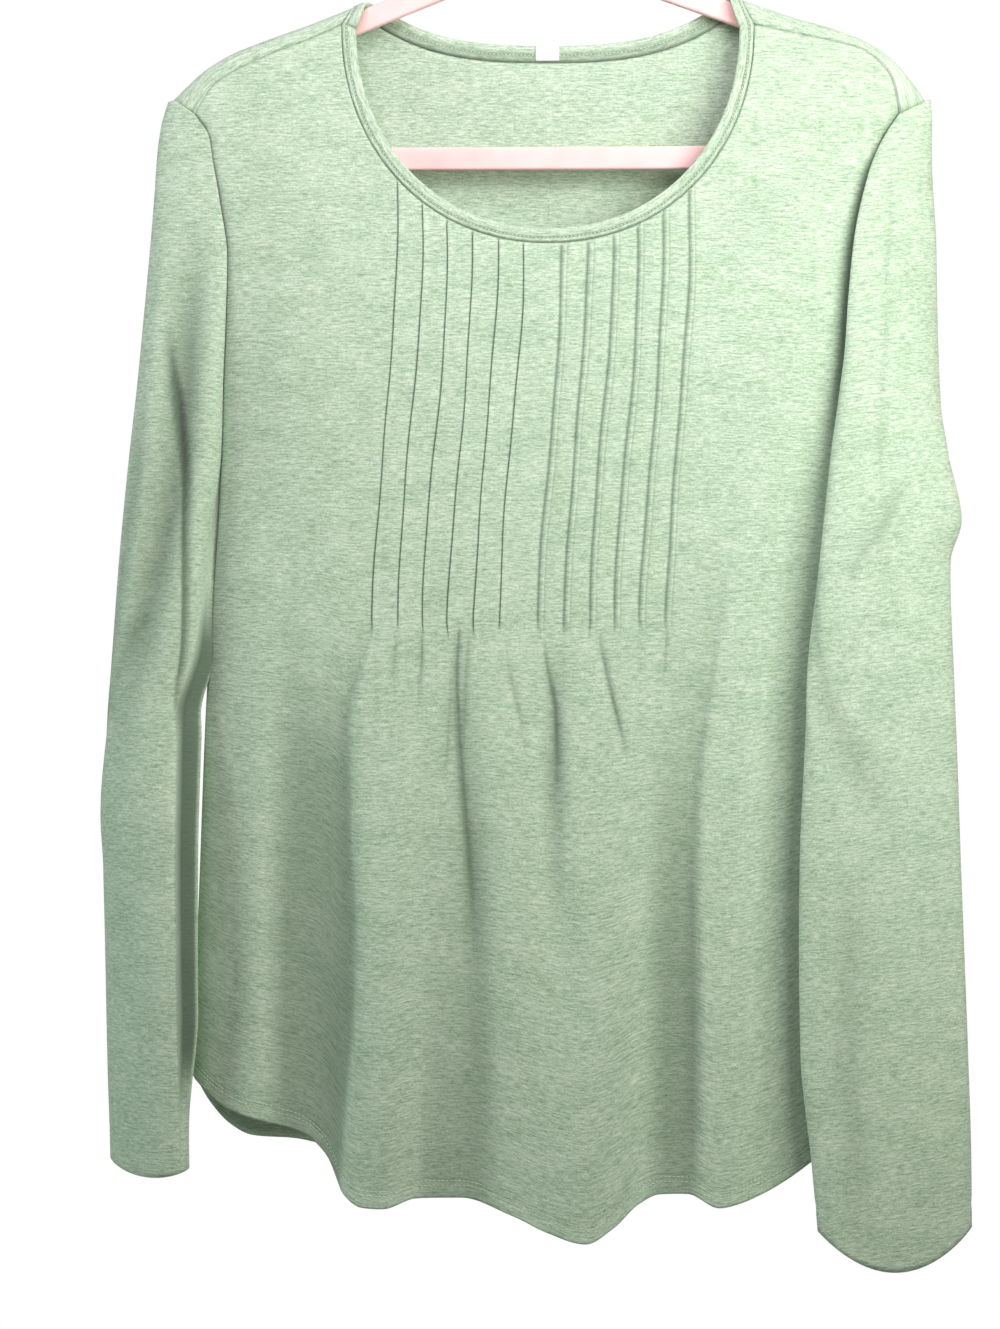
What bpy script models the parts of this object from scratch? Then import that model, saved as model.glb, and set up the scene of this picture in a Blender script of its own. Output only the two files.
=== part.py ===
"""Long sleeve jersey top hanging on a slim flocked hanger.

The frame is in metres with +Z up and +X to the right of a viewer who faces the front of the top,
so the front of the top faces -Y. The origin is the inner top of the hanger's hook, where a rod
carries it. Sizes below are in millimetres and each mesh is scaled to metres as it is made.
"""

import math
from collections import namedtuple

import bmesh
import bpy
import numpy as np

MM = 0.001
COLLECTION = "long_sleeve_top_on_hanger"

# Cloth
WALL = 1.2                  # thickness of one layer of jersey in the solids
SEAM_GAP = 0.3              # space left between two pieces at a seam
WALL_ROOM = 0.5             # more space where walls meet at an angle

# Neck opening, seen from the front, at the seam between body and neckband
NECK_MID_X = 1.4
NECK_HALF_WIDTH = 126.5
NECK_TOP_Z = -121.0
NECK_DROP = 135.5
NECK_POWER = 2.1            # 2 is an ellipse, more is squarer
SEAM_FRONT_Y = -8.0         # depth of the shoulder seams
SHOULDER_SLOPE = 0.4        # rise of the shoulders towards the neck
BACK_NECK_HALF_WIDTH = 109.0
BACK_NECK_Z = -139.0
BACK_NECK_RISE = 25.0
BACK_NECK_POWER = 3.0
BACK_NECK_Y = (8.0, 12.5)
BAND_WIDTH = 8.5
BAND_ROOM = 0.3             # more space, because the band curves the other way
BAND_PROUD = 0.3
BAND_DEPTH = 1.5
BAND_CROWN = 0.3            # rise of the band's middle over its edges

# Pintucks, sewn from the neckline down and left to lean with the hang of the cloth
TUCKS_EACH_SIDE = 6
TUCK_FIRST_X = 11.5
TUCK_PITCH = 15.4
TUCK_WIDTH = 3.6
TUCK_HEIGHT = 1.3
TUCK_PRESS = 0.9            # how far the crest is pressed away from the middle
TUCK_END_Z = -498.0
TUCK_FADE = 9.0
TUCK_ONSET = 4.0            # depth below the neckline over which a tuck rises
SPREAD_DROP = 130.0         # depth over which the neck's crowded columns even out
STEADY_HALF_WIDTH = 92.0    # columns nearer the middle don't follow the sides
SHOULDER_HALF_WIDTH = 160.0  # columns further out follow the tip's rows
SHOULDER_SETTLE = 16.0      # depth over which a panel leaves its shoulder seam's own depth
LEAN_TOP_Z = -257.0
LEAN = -15.0                # sideways drift of the middle between neck and tuck ends

# Shares of the way from shoulder tip to hem at the side, one for each row of the body panels
UNDERARM_SHARE = 0.352
CAP_SHARES = (0.0, 0.01, 0.022, 0.038, 0.06, 0.1, 0.15, 0.2, 0.25, 0.3, UNDERARM_SHARE)
SIDE_SHARES = (0.4, 0.46, 0.52, 0.575, 0.63, 0.69, 0.75, 0.81, 0.87, 0.925, 0.97, 1.0)
SHOULDER_SHARES = (0.0, 0.14, 0.28, 0.42, 0.56, 0.7, 0.83, 0.93, 1.0)
STRIP_END = 0.985           # the strip over a shoulder stops just short of the sleeve
STRIP_GAP = 0.5             # and lies this far from the front panel along the seam
SHARE_STEP = 0.02           # small step along a shoulder, to find which way it runs
WRAP_SHARES = (0.0, 0.18, 0.36, 0.5, 0.64, 0.82, 1.0)
NECK_SIDE_SHARES = (0.997, 0.987, 0.966, 0.93, 0.88, 0.82, 0.765)
BACK_NECK_SHARES = (0.97, 0.9, 0.78, 0.62, 0.43, 0.22)

# One row for each place along a shoulder, from neck to tip: the top of the ridge and the seam,
# which lies a little to the front of the ridge
Shoulder = namedtuple("Shoulder", "share ridge_x ridge_z seam_x seam_z")
SHOULDER_LEFT = (
    Shoulder(0.00, -119.0, -109.5, -125.1, -121.0),
    Shoulder(0.22, -145.5, -120.0, -143.5, -129.5),
    Shoulder(0.45, -172.0, -129.5, -171.0, -140.0),
    Shoulder(0.62, -192.0, -137.5, -191.0, -149.5),
    Shoulder(0.77, -208.0, -147.0, -203.5, -158.0),
    Shoulder(0.89, -219.5, -157.0, -210.0, -167.0),
    Shoulder(1.00, -228.5, -166.0, -215.0, -176.0),
)
SHOULDER_RIGHT = (
    Shoulder(0.00, 121.0, -104.5, 127.9, -121.0),
    Shoulder(0.22, 152.0, -115.0, 150.0, -125.5),
    Shoulder(0.45, 175.0, -121.5, 174.0, -130.5),
    Shoulder(0.62, 195.0, -129.0, 192.0, -135.0),
    Shoulder(0.77, 210.0, -138.0, 203.5, -142.5),
    Shoulder(0.89, 224.0, -152.5, 212.0, -153.5),
    Shoulder(1.00, 235.0, -168.5, 217.0, -175.0),
)
NECK_END_FRONT = {
    -1: (SHOULDER_LEFT[0].seam_x, SHOULDER_LEFT[0].seam_z),
    1: (SHOULDER_RIGHT[0].seam_x, SHOULDER_RIGHT[0].seam_z),
}
NECK_END_BACK = {-1: (-109.0, -114.0), 1: (111.5, -114.0)}
NECK_END_REACH = 0.3        # share of the shoulder over which its strip runs out to the back neck

# One row for each level of a sleeve. The section is an ellipse from inner_x to outer_x as the
# viewer sees it, depth from front to back, turned about its middle. seam_x and seam_gap place the
# two open ends on the armhole; below the underarm the section is closed and seam_gap is 0. groove
# is the depth of the long fold in the front layer.
Sleeve = namedtuple("Sleeve", "z seam_x inner_x outer_x mid_y depth turn seam_gap groove")
SLEEVE_LEFT = (
    Sleeve(-176, -215.0, -215.0, -231.5, 0, 2, 0, 16, 0),
    Sleeve(-190, -206.0, -206.0, -236.0, 0, 3, 0, 19, 0),
    Sleeve(-205, -203.5, -203.5, -238.5, 0, 4, 0, 21, 0),
    Sleeve(-230, -199.0, -199.0, -240.6, 0, 7, 0, 22, 0),
    Sleeve(-265, -194.5, -194.5, -243.8, 0, 12, 0, 22, 3),
    Sleeve(-300, -195.5, -195.5, -247.0, 0, 22, 0, 19, 7),
    Sleeve(-340, -197.5, -197.5, -250.8, 0, 38, 0, 11, 10),
    Sleeve(-383, -199.0, -199.0, -255.6, 0, 54, 0, 0, 12),
    Sleeve(-440, -206.5, -206.5, -261.4, 0, 52, 8, 0, 11),
    Sleeve(-500, -212.0, -212.0, -266.8, 0, 50, 24, 0, 7),
    Sleeve(-546, -219.5, -219.5, -271.3, 0, 46, 40, 0, 3),
    Sleeve(-605, -219.5, -219.5, -275.8, 0, 42, 48, 0, 0),
    Sleeve(-640, -219.0, -219.0, -273.4, 0, 40, 52, 0, 0),
    Sleeve(-706, -218.0, -218.0, -272.7, 0, 37, 55, 0, 0),
    Sleeve(-826, -216.5, -216.5, -270.2, 0, 36, 55, 0, 0),
)
SLEEVE_RIGHT = (
    Sleeve(-175, 217.0, 217.0, 236.5, -5, 3, 0, 16, 0),
    Sleeve(-190, 207.0, 207.0, 237.5, -6, 7, 4, 18, 0),
    Sleeve(-215, 203.0, 196.5, 238.5, -8, 11, 12, 21, 0),
    Sleeve(-255, 195.0, 187.0, 241.2, -11, 12, 17, 22, 0),
    Sleeve(-290, 195.5, 183.5, 242.0, -12, 14, 19, 22, 0),
    Sleeve(-320, 197.0, 181.5, 242.5, -14, 17, 20, 20, 0),
    Sleeve(-354, 198.0, 177.0, 243.2, -17, 22, 20, 13, 0),
    Sleeve(-382, 199.0, 172.5, 246.0, -20, 27, 19, 0, 0),
    Sleeve(-425, 199.0, 167.0, 253.8, -25, 27, 17, 0, 0),
    Sleeve(-450, 199.0, 164.0, 247.0, -28, 26, 16, 0, 0),
    Sleeve(-486, 199.0, 159.5, 246.5, -31, 25, 14, 0, 0),
    Sleeve(-530, 199.0, 156.3, 247.5, -34, 24, 12, 0, 0),
    Sleeve(-574, 199.0, 153.8, 248.7, -37, 23, 11, 0, 0),
    Sleeve(-630, 199.0, 151.0, 250.0, -40, 22, 10, 0, 0),
    Sleeve(-683, 199.0, 150.4, 251.6, -42, 22, 9, 0, 0),
    Sleeve(-743, 199.0, 151.0, 253.4, -44, 22, 8, 0, 0),
    Sleeve(-810, 199.0, 157.5, 255.0, -46, 22, 8, 0, 0),
    Sleeve(-875, 199.0, 163.5, 255.5, -46, 22, 8, 0, 0),
)
SLEEVE_COLUMNS = 22
SLEEVE_LOWER_ROWS = 14
SLEEVE_CROWN = 10.0         # how much higher the fold over the shoulder tip is than its seam
CROWN_END_SHARE = 0.15      # share of the side over which it dies out
GROOVE_ANGLE = {-1: -1.7, 1: -1.9}  # where the long fold runs, from the outer edge round the front
GROOVE_SPREAD = 0.42

# Where the sleeve that laps the chest stops lapping it
LAP_END_Z = -640.0
LAP_RUN = 200.0

# How the spare cloth between the two ends of an open section is shared out
Opening = namedtuple("Opening", "power front_share")
OPENING = {-1: Opening(1.0, 0.5), 1: Opening(2.0, 0.1)}

# How far the body's armhole edges lie behind the sleeve's, where the sleeve laps the chest
SEAM_SHIFT_Y = {-1: 0.0, 1: 0.9}

# Lower edge of each cuff: middle and half of its width, height at the edges, dip at the middle
Cuff = namedtuple("Cuff", "mid_x half_width edge_z dip")
CUFF = {-1: Cuff(-243.0, 28.0, -818.0, 5.0), 1: Cuff(208.0, 47.0, -850.0, 24.0)}

# Side seam below the underarm, one row for each level
Side = namedtuple("Side", "z left_x right_x")
SIDE_SEAM = (
    Side(-382, -199.0, 199.0),
    Side(-418, -200.5, 200.5),
    Side(-495, -206.0, 205.0),
    Side(-547, -209.0, 208.0),
    Side(-640, -212.5, 212.0),
    Side(-720, -215.5, 215.0),
    Side(-766, -217.0, 216.5),
)
HEM_SIDE_Z = {-1: -764.5, 1: -764.5}
SIDE_ROOM_TOP = 1.4         # space from the side seam's middle to each panel, at the underarm
SIDE_ROOM_LOW = 1.0         # and further down, where the panels meet at a steep angle
CLOSING_RUN = 45.0          # the two panels close up over this height above the underarm
STEEPENING_RUN = 320.0
CENTRING_RUN = 160.0        # the side seam returns to the hanger's plane over this height
EDGE_FADE = 0.06            # share of the width over which folds die out at a side

# How far the middle of each panel hangs in front of or behind the hanger's plane
Depth = namedtuple("Depth", "z front back edge_power edge_root")
BODY_DEPTH = (
    Depth(-100, 5.5, 6.0, 6.0, 1.0),
    Depth(-121, 8.0, 8.5, 6.0, 1.0),
    Depth(-140, 10.5, 10.5, 6.0, 1.0),
    Depth(-176, 14.0, 13.0, 6.0, 1.0),
    Depth(-256, 19.0, 16.0, 5.0, 1.0),
    Depth(-320, 23.0, 18.5, 4.0, 0.85),
    Depth(-383, 26.0, 21.0, 3.0, 0.65),
    Depth(-500, 32.0, 26.0, 2.6, 0.55),
    Depth(-630, 38.0, 31.0, 2.5, 0.52),
    Depth(-750, 42.0, 35.0, 2.5, 0.5),
    Depth(-870, 45.0, 38.0, 2.5, 0.5),
)

# Lower edges of the two panels, from the left side to the right side
Hem = namedtuple("Hem", "x z")
FRONT_HEM = (
    Hem(-217, -764.5), Hem(-207, -773), Hem(-196, -781), Hem(-163, -791), Hem(-146, -797),
    Hem(-133, -809), Hem(-122, -831), Hem(-111, -838), Hem(-98, -838.5), Hem(-78, -833),
    Hem(-52, -833), Hem(-20, -843), Hem(0, -852), Hem(23, -858), Hem(40, -849), Hem(55, -836),
    Hem(68, -831), Hem(86, -831), Hem(103, -838), Hem(116, -836), Hem(130, -831),
    Hem(145, -823), Hem(160, -813), Hem(182, -797), Hem(203, -779), Hem(216.5, -764.5),
)
BACK_HEM = (
    Hem(-217, -764.5), Hem(-208, -783), Hem(-196, -798), Hem(-183, -806), Hem(-150, -811),
    Hem(-110, -822), Hem(-60, -834), Hem(0, -841), Hem(60, -835), Hem(110, -824),
    Hem(150, -812), Hem(183, -803), Hem(205, -785), Hem(216.5, -764.5),
)

# Long folds of the two panels. height is how far each stands out at its top and its low end
Fold = namedtuple("Fold", "top_x top_z low_x low_z top_width low_width top_height low_height")
FRONT_FOLDS = (
    Fold(-111, -505, -121, -838, 6, 11, -3.0, -8.0),
    Fold(-100, -520, -103, -838, 12, 15, 0.0, 7.0),
    Fold(-53, -490, -46, -835, 6, 13, -3.5, -2.5),
    Fold(-66, -600, -66, -835, 16, 17, 0.0, -4.0),
    Fold(8, -495, 5, -680, 12, 22, -3.0, 0.0),
    Fold(20, -560, 22, -858, 26, 27, 0.0, 9.0),
    Fold(112, -465, 88, -835, 6, 9, -2.5, -7.0),
    Fold(124, -465, 106, -838, 11, 14, 1.0, 7.0),
    Fold(-168, -420, -170, -790, 14, 15, 1.0, 4.0),
)
BACK_FOLDS = (
    Fold(-150, -420, -158, -810, 17, 18, 1.0, 6.0),
    Fold(-96, -330, -104, -825, 13, 18, -1.0, -5.0),
    Fold(-48, -380, -52, -835, 18, 20, 1.0, 7.0),
    Fold(4, -300, 0, -840, 13, 18, -1.0, -5.0),
    Fold(52, -400, 58, -835, 18, 20, 1.0, 7.0),
    Fold(104, -340, 112, -824, 13, 17, -1.0, -5.0),
    Fold(152, -430, 164, -808, 17, 18, 1.0, 6.0),
)
FOLD_ONSET = 0.18           # share of a fold's length over which it grows in

# Blank label inside the back of the neck
LABEL_WIDTH = 15.0
LABEL_HEIGHT = 9.0
LABEL_WALL = 1.0
LABEL_ROOM = 0.4            # the band curves behind the flat label

# Hanger
FRAME_WALL = 5.0
FRAME_EDGE = 1.6
HANGER_OUTER = ((0.0, -64.0), (-214.0, -152.5), (-206.0, -209.8), (204.0, -208.0), (212.0, -141.5))
HANGER_OUTER_RADII = (12.0, 15.0, 12.0, 12.0, 15.0)
HANGER_INNER = ((0.0, -79.0), (-199.0, -160.0), (-193.0, -195.6), (192.0, -193.8), (197.5, -149.0))
HANGER_INNER_RADII = (8.0, 6.0, 6.0, 6.0, 6.0)
CORNER_STEPS = 6
BOSS_RADIUS = 5.0
BOSS_TOP_Z = -55.0
BOSS_BASE_Z = -72.0
HOOK_WIRE = 1.9
HOOK_RADIUS = 21.9          # of the wire's middle
HOOK_SHANK_Z = -64.0
HOOK_CLEARANCE = 0.35
HOOK_END_ANGLE = 205.0
HOOK_START_ANGLE = -62.0

Finish = namedtuple("Finish", "name colour metallic roughness")
JERSEY = Finish("sage_jersey", (0.42, 0.50, 0.37, 1.0), 0.0, 0.9)
LABEL = Finish("white_label", (0.88, 0.88, 0.86, 1.0), 0.0, 0.7)
FLOCK = Finish("pink_flock", (0.86, 0.55, 0.50, 1.0), 0.0, 0.95)
CHROME = Finish("chrome", (0.8, 0.8, 0.8, 1.0), 1.0, 0.15)


def clear_scene():
    """Remove what the scene holds at the start."""
    for thing in list(bpy.data.objects):
        bpy.data.objects.remove(thing, do_unlink=True)


def new_collection(name):
    """Make a collection under the scene's own."""
    made = bpy.data.collections.new(name)
    bpy.context.scene.collection.children.link(made)
    return made


def new_material(finish):
    """Make a Principled material from a finish."""
    made = bpy.data.materials.new(finish.name)
    made.use_nodes = True
    shader = made.node_tree.nodes["Principled BSDF"]
    shader.inputs["Base Color"].default_value = finish.colour
    shader.inputs["Metallic"].default_value = finish.metallic
    shader.inputs["Roughness"].default_value = finish.roughness
    made.diffuse_color = finish.colour
    return made


def ease(value):
    """Smooth step from 0 to 1, level at both ends."""
    held = np.clip(value, 0.0, 1.0)
    return held * held * (3.0 - 2.0 * held)


def smooth(xs, ys, at):
    """Smooth curve through rising or falling xs that never swings past its points."""
    xs = np.asarray(xs, float)
    ys = np.asarray(ys, float)
    if xs[0] > xs[-1]:
        xs, ys = xs[::-1], ys[::-1]
    at = np.clip(at, xs[0], xs[-1])
    step = np.diff(xs)
    slope = np.diff(ys) / step
    bend = np.zeros(len(xs))
    bend[0], bend[-1] = slope[0], slope[-1]
    same_way = slope[:-1] * slope[1:] > 0
    bend[1:-1] = np.where(same_way, 2 * slope[:-1] * slope[1:] / (slope[:-1] + slope[1:] + 1e-12), 0.0)
    index = np.clip(np.searchsorted(xs, at, side="right") - 1, 0, len(step) - 1)
    t = (at - xs[index]) / step[index]
    start = (1 + 2 * t) * (1 - t) ** 2 * ys[index] + t * (1 - t) ** 2 * step[index] * bend[index]
    end = t * t * (3 - 2 * t) * ys[index + 1] + t * t * (t - 1) * step[index] * bend[index + 1]
    return start + end


def column(table, key, name, at):
    """Read one named column of a table at a value of its key column."""
    return smooth([getattr(row, key) for row in table], [getattr(row, name) for row in table], at)


def side_table(side, left, right):
    """Pick the table of one side: -1 is the viewer's left, 1 the right."""
    return left if side < 0 else right


def sleeve_point(side, z, angle):
    """Point of a sleeve's outer surface at a level.

    angle runs from -pi at the front end of the section, over 0 at the outer fold, to pi at the
    back end. Below the underarm the two ends meet.
    """
    table = side_table(side, SLEEVE_LEFT, SLEEVE_RIGHT)
    row = {name: column(table, "z", name, z) for name in Sleeve._fields[1:]}
    mid_x = (row["inner_x"] + row["outer_x"]) / 2
    half = abs(row["outer_x"] - row["inner_x"]) / 2
    half_depth = row["depth"] / 2
    turn = np.radians(row["turn"]) * side
    across = np.sqrt(np.maximum(half ** 2 - (half_depth * np.sin(turn)) ** 2, 1.0)) / np.cos(turn)
    reach = np.clip((row["seam_x"] - mid_x) / half * side, -1.0, 1.0)
    lap = np.where(side > 0, np.pi - np.arccos(reach), 0.0)
    lap = lap * ease((z - LAP_END_Z) / LAP_RUN)
    phi = angle - lap
    flat_x = side * across * np.cos(phi)
    flat_y = half_depth * np.sin(phi)
    x = mid_x + flat_x * np.cos(turn) - flat_y * np.sin(turn)
    y = row["mid_y"] + flat_x * np.sin(turn) + flat_y * np.cos(turn)
    opening = OPENING[side]
    share = ((1.0 + np.sin(angle / 2.0)) / 2.0) ** opening.power - opening.front_share
    y = y + row["seam_gap"] * share
    y = y + row["groove"] * np.exp(-((angle - GROOVE_ANGLE[side]) / GROOVE_SPREAD) ** 2)
    return x, y


def armhole_end(side, z, back):
    """Where the sleeve's section ends at a level: on the front or the back armhole edge."""
    return sleeve_point(side, z, np.pi if back else -np.pi)


def side_row_z(side, share):
    """Height on the panel's side edge at a share of the way from shoulder tip to hem."""
    tip = side_table(side, SHOULDER_LEFT, SHOULDER_RIGHT)[-1].seam_z
    return tip + (HEM_SIDE_Z[side] - tip) * share


def side_edge(side, z, back):
    """Edge point of a body panel at a level: armhole above the underarm, side seam below."""
    underarm = side_row_z(side, UNDERARM_SHARE)
    cap_x, cap_y = armhole_end(side, np.maximum(z, underarm), back)
    low_x = column(SIDE_SEAM, "z", side_table(side, "left_x", "right_x"), z)
    low_x = low_x - column(SIDE_SEAM, "z", side_table(side, "left_x", "right_x"), underarm)
    x = cap_x + np.where(z < underarm, low_x, 0.0)
    inward = -side * np.where(z < underarm, 0.0, SEAM_GAP + WALL_ROOM)
    closing = ease((underarm + CLOSING_RUN - z) / CLOSING_RUN)
    steep = ease((underarm - z) / STEEPENING_RUN)
    apart = (SIDE_ROOM_TOP * (1.0 - steep) + SIDE_ROOM_LOW * steep) * closing
    y = cap_y * np.where(z < underarm, 1.0 - ease((underarm - z) / CENTRING_RUN), 1.0)
    y = y + SEAM_SHIFT_Y[side] * (1.0 + closing) * (1.0 - steep)
    return x + inward, y + (apart if back else -apart)


def front_neck(x):
    """Height of the front neckline seam."""
    share = np.clip(np.abs(x - NECK_MID_X) / NECK_HALF_WIDTH, 0.0, 1.0)
    return NECK_TOP_Z - NECK_DROP * (1.0 - share ** NECK_POWER) ** (1.0 / NECK_POWER)


def back_neck(x):
    """Height and depth of the back neckline seam."""
    share = np.clip(np.abs(x - NECK_MID_X) / BACK_NECK_HALF_WIDTH, 0.0, 1.0)
    z = BACK_NECK_Z + BACK_NECK_RISE * share ** BACK_NECK_POWER
    y = BACK_NECK_Y[1] + (BACK_NECK_Y[0] - BACK_NECK_Y[1]) * share
    return z, y


def shoulder_point(side, share, wrap):
    """Point of the strip over a shoulder: wrap 0 is the front seam, 0.5 the ridge, 1 the back."""
    table = side_table(side, SHOULDER_LEFT, SHOULDER_RIGHT)
    row = {name: column(table, "share", name, share) for name in Shoulder._fields[1:]}
    over = np.sin(np.pi * wrap)
    back_x, back_z = NECK_END_BACK[side]
    near_neck = (1.0 - ease(share / NECK_END_REACH)) * ease(wrap)
    seam_x = row["seam_x"] + (back_x - NECK_END_FRONT[side][0]) * near_neck
    seam_z = row["seam_z"] + (back_z - NECK_END_FRONT[side][1]) * near_neck
    tip_front = armhole_end(side, side_row_z(side, 0.0), False)[1]
    tip_back = armhole_end(side, side_row_z(side, 0.0), True)[1]
    front_y = SEAM_FRONT_Y + (tip_front - SEAM_FRONT_Y) * ease(share)
    back_y = BACK_NECK_Y[0] + (tip_back - BACK_NECK_Y[0]) * ease(share)
    y = front_y * (1.0 + np.cos(np.pi * wrap)) / 2 + back_y * (1.0 - np.cos(np.pi * wrap)) / 2
    x = seam_x + (row["ridge_x"] - seam_x) * over
    z = seam_z + (row["ridge_z"] - seam_z) * over
    return x, y, z


def fold_height(folds, x, z):
    """Sum of the long folds of a panel at a place."""
    total = np.zeros(np.broadcast(x, z).shape)
    for fold in folds:
        share = np.clip((fold.top_z - z) / (fold.top_z - fold.low_z), -0.2, 1.2)
        middle = fold.top_x + (fold.low_x - fold.top_x) * share
        width = fold.top_width + (fold.low_width - fold.top_width) * share
        height = fold.top_height + (fold.low_height - fold.top_height) * share
        grown = ease((share + 0.1) / FOLD_ONSET)
        total = total + height * grown * np.exp(-((x - middle) / width) ** 2)
    return total


def tuck_middles():
    """Place of each tuck's crest line at the neck, from left to right."""
    right = [TUCK_FIRST_X + TUCK_PITCH * k for k in range(TUCKS_EACH_SIDE)]
    return [-x for x in reversed(right)] + right


def body_y(front, x, z):
    """Depth of a body panel's outer surface, without tucks."""
    left_x, left_y = side_edge(-1, np.minimum(z, side_row_z(-1, 0.0)), not front)
    right_x, right_y = side_edge(1, np.minimum(z, side_row_z(1, 0.0)), not front)
    across = np.clip((x - left_x) / (right_x - left_x), 0.0, 1.0)
    edge_y = left_y + (right_y - left_y) * ease(across)
    middle_y = -column(BODY_DEPTH, "z", "front", z) if front else column(BODY_DEPTH, "z", "back", z)
    power = column(BODY_DEPTH, "z", "edge_power", z)
    root = column(BODY_DEPTH, "z", "edge_root", z)
    level = (1.0 - np.abs(2.0 * across - 1.0) ** power) ** root
    near_edge = ease(np.minimum(across, 1.0 - across) / EDGE_FADE)
    folds = fold_height(FRONT_FOLDS if front else BACK_FOLDS, x, z) * near_edge
    out = -1.0 if front else 1.0
    return edge_y + (middle_y - edge_y) * level + out * folds


def panel_columns(front):
    """Top point of each column of a panel, from left to right, as (x, y, z, side, share)."""
    found = []
    for share in reversed(SHOULDER_SHARES):
        x, y, z = shoulder_point(-1, share, 0.0 if front else 1.0)
        found.append((float(x), float(y), float(z)))
    if front:
        for x in neck_places():
            z = front_neck(x)
            found.append((x, float(body_y(True, x, z)), float(z)))
    else:
        found += [(x, float(back_neck(x)[1]), float(back_neck(x)[0])) for x in back_neck_places()]
    for share in SHOULDER_SHARES:
        x, y, z = shoulder_point(1, share, 0.0 if front else 1.0)
        found.append((float(x), float(y), float(z)))
    return found


def neck_places():
    """Places of the front panel's columns between the two shoulder seams."""
    sides = [NECK_HALF_WIDTH * share for share in NECK_SIDE_SHARES]
    places = [NECK_MID_X - reach for reach in sides]
    for middle in tuck_middles():
        crest = middle + math.copysign(TUCK_PRESS, middle)
        places += [middle - TUCK_WIDTH / 2, crest, middle + TUCK_WIDTH / 2]
    places += [0.0] + [NECK_MID_X + reach for reach in sides]
    return sorted(places)


def back_neck_places():
    """Places of the back panel's columns between the two shoulders."""
    reach = [BACK_NECK_HALF_WIDTH * share for share in BACK_NECK_SHARES]
    return sorted([NECK_MID_X - r for r in reach] + [NECK_MID_X] + [NECK_MID_X + r for r in reach])


def column_x(top_x, top_z, z, share, front):
    """Where a column that starts at a top point has got to at a level.

    It follows the side's edge at its own level, and by its own row near the tip.
    """
    side = -1 if top_x < 0 else 1
    tip_z = side_row_z(side, 0.0)
    row_z = side_row_z(side, share)
    tip_x = side_edge(side, tip_z, not front)[0]
    edge = ease((abs(top_x) - STEADY_HALF_WIDTH) / (abs(tip_x) - STEADY_HALF_WIDTH))
    near_tip = ease((abs(top_x) - SHOULDER_HALF_WIDTH) / (abs(tip_x) - SHOULDER_HALF_WIDTH))
    level_x = side_edge(side, min(z, tip_z), not front)[0]
    row_x = side_edge(side, row_z, not front)[0]
    edge_x = level_x + (row_x - level_x) * near_tip
    start_x = side_edge(side, min(top_z, tip_z), not front)[0]
    start_x += (tip_x - start_x) * near_tip
    fall = ease((LEAN_TOP_Z - z) / (LEAN_TOP_Z - TUCK_END_Z)) if front else 0.0
    spread = neck_spread(top_x) * ease((top_z - z) / SPREAD_DROP) if front else 0.0
    return top_x + spread + LEAN * fall * (1.0 - edge) + (edge_x - start_x) * edge


def neck_spread(top_x):
    """How far a column that starts on the steep side of the neckline moves to an even spacing."""
    reach = abs(top_x - NECK_MID_X) / NECK_HALF_WIDTH
    shares = NECK_SIDE_SHARES
    if reach > 0.9999 or reach < shares[-1] - 0.001:
        return 0.0
    place = min(range(len(shares)), key=lambda k: abs(shares[k] - reach))
    even = 1.0 - (1.0 - shares[-1]) * (place + 1) / len(shares)
    outward = 1.0 if top_x > NECK_MID_X else -1.0
    return (even - shares[place]) * NECK_HALF_WIDTH * outward


def tuck_rise(top_x, z):
    """How far a column on a tuck's crest stands out."""
    for middle in tuck_middles():
        if abs(top_x - middle - math.copysign(TUCK_PRESS, middle)) < 0.01:
            below_band = ease((front_neck(top_x) - z) / TUCK_ONSET)
            return TUCK_HEIGHT * below_band * ease((z - TUCK_END_Z) / TUCK_FADE)
    return 0.0


def panel_grid(front):
    """Rows of points of a body panel, from its top edge to its hem."""
    columns = panel_columns(front)
    hem = FRONT_HEM if front else BACK_HEM
    rows = []
    for share in CAP_SHARES + SIDE_SHARES:
        row = []
        for index, (top_x, top_y, top_z) in enumerate(columns):
            at_edge = index in (0, len(columns) - 1)
            low_x = column_x(top_x, top_z, hem[0].z, 1.0, front)
            low_z = float(column(hem, "x", "z", low_x))
            z = top_z + (low_z - top_z) * share
            if at_edge:
                side = -1 if index == 0 else 1
                z = side_row_z(side, share)
                x, y = side_edge(side, z, not front)
            else:
                x = column_x(top_x, top_z, z, share, front)
                y = body_y(front, x, z)
                from_top = top_y - body_y(front, top_x, top_z)
                y = y + from_top * math.exp(-(top_z - z) / SHOULDER_SETTLE)
                if front:
                    y = y - tuck_rise(top_x, z)
            row.append((float(x), float(y), float(z)))
        rows.append(row)
    return rows


def add_object(name, mesh, material, collection):
    """Link a mesh as a named object with its material."""
    mesh.materials.append(material)
    made = bpy.data.objects.new(name, mesh)
    collection.objects.link(made)
    return made


def mesh_of(name, points, faces):
    """Make a mesh from points in millimetres."""
    mesh = bpy.data.meshes.new(name)
    mesh.from_pydata([tuple(c * MM for c in point) for point in points], [], faces)
    mesh.validate()
    return mesh


def thicken(thing, wall):
    """Give an open sheet of cloth its wall, on the inner side of its outer surface."""
    solid = thing.modifiers.new("wall", "SOLIDIFY")
    solid.thickness = wall * MM
    solid.offset = -1.0
    return thing


def grid_faces(start, row_count, width, flip):
    """Faces between rows of points that lie one row after the other."""
    faces = []
    for row in range(row_count - 1):
        for place in range(width - 1):
            corner = start + row * width + place
            face = (corner, corner + width, corner + width + 1, corner + 1)
            faces.append(face[::-1] if flip else face)
    return faces


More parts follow.
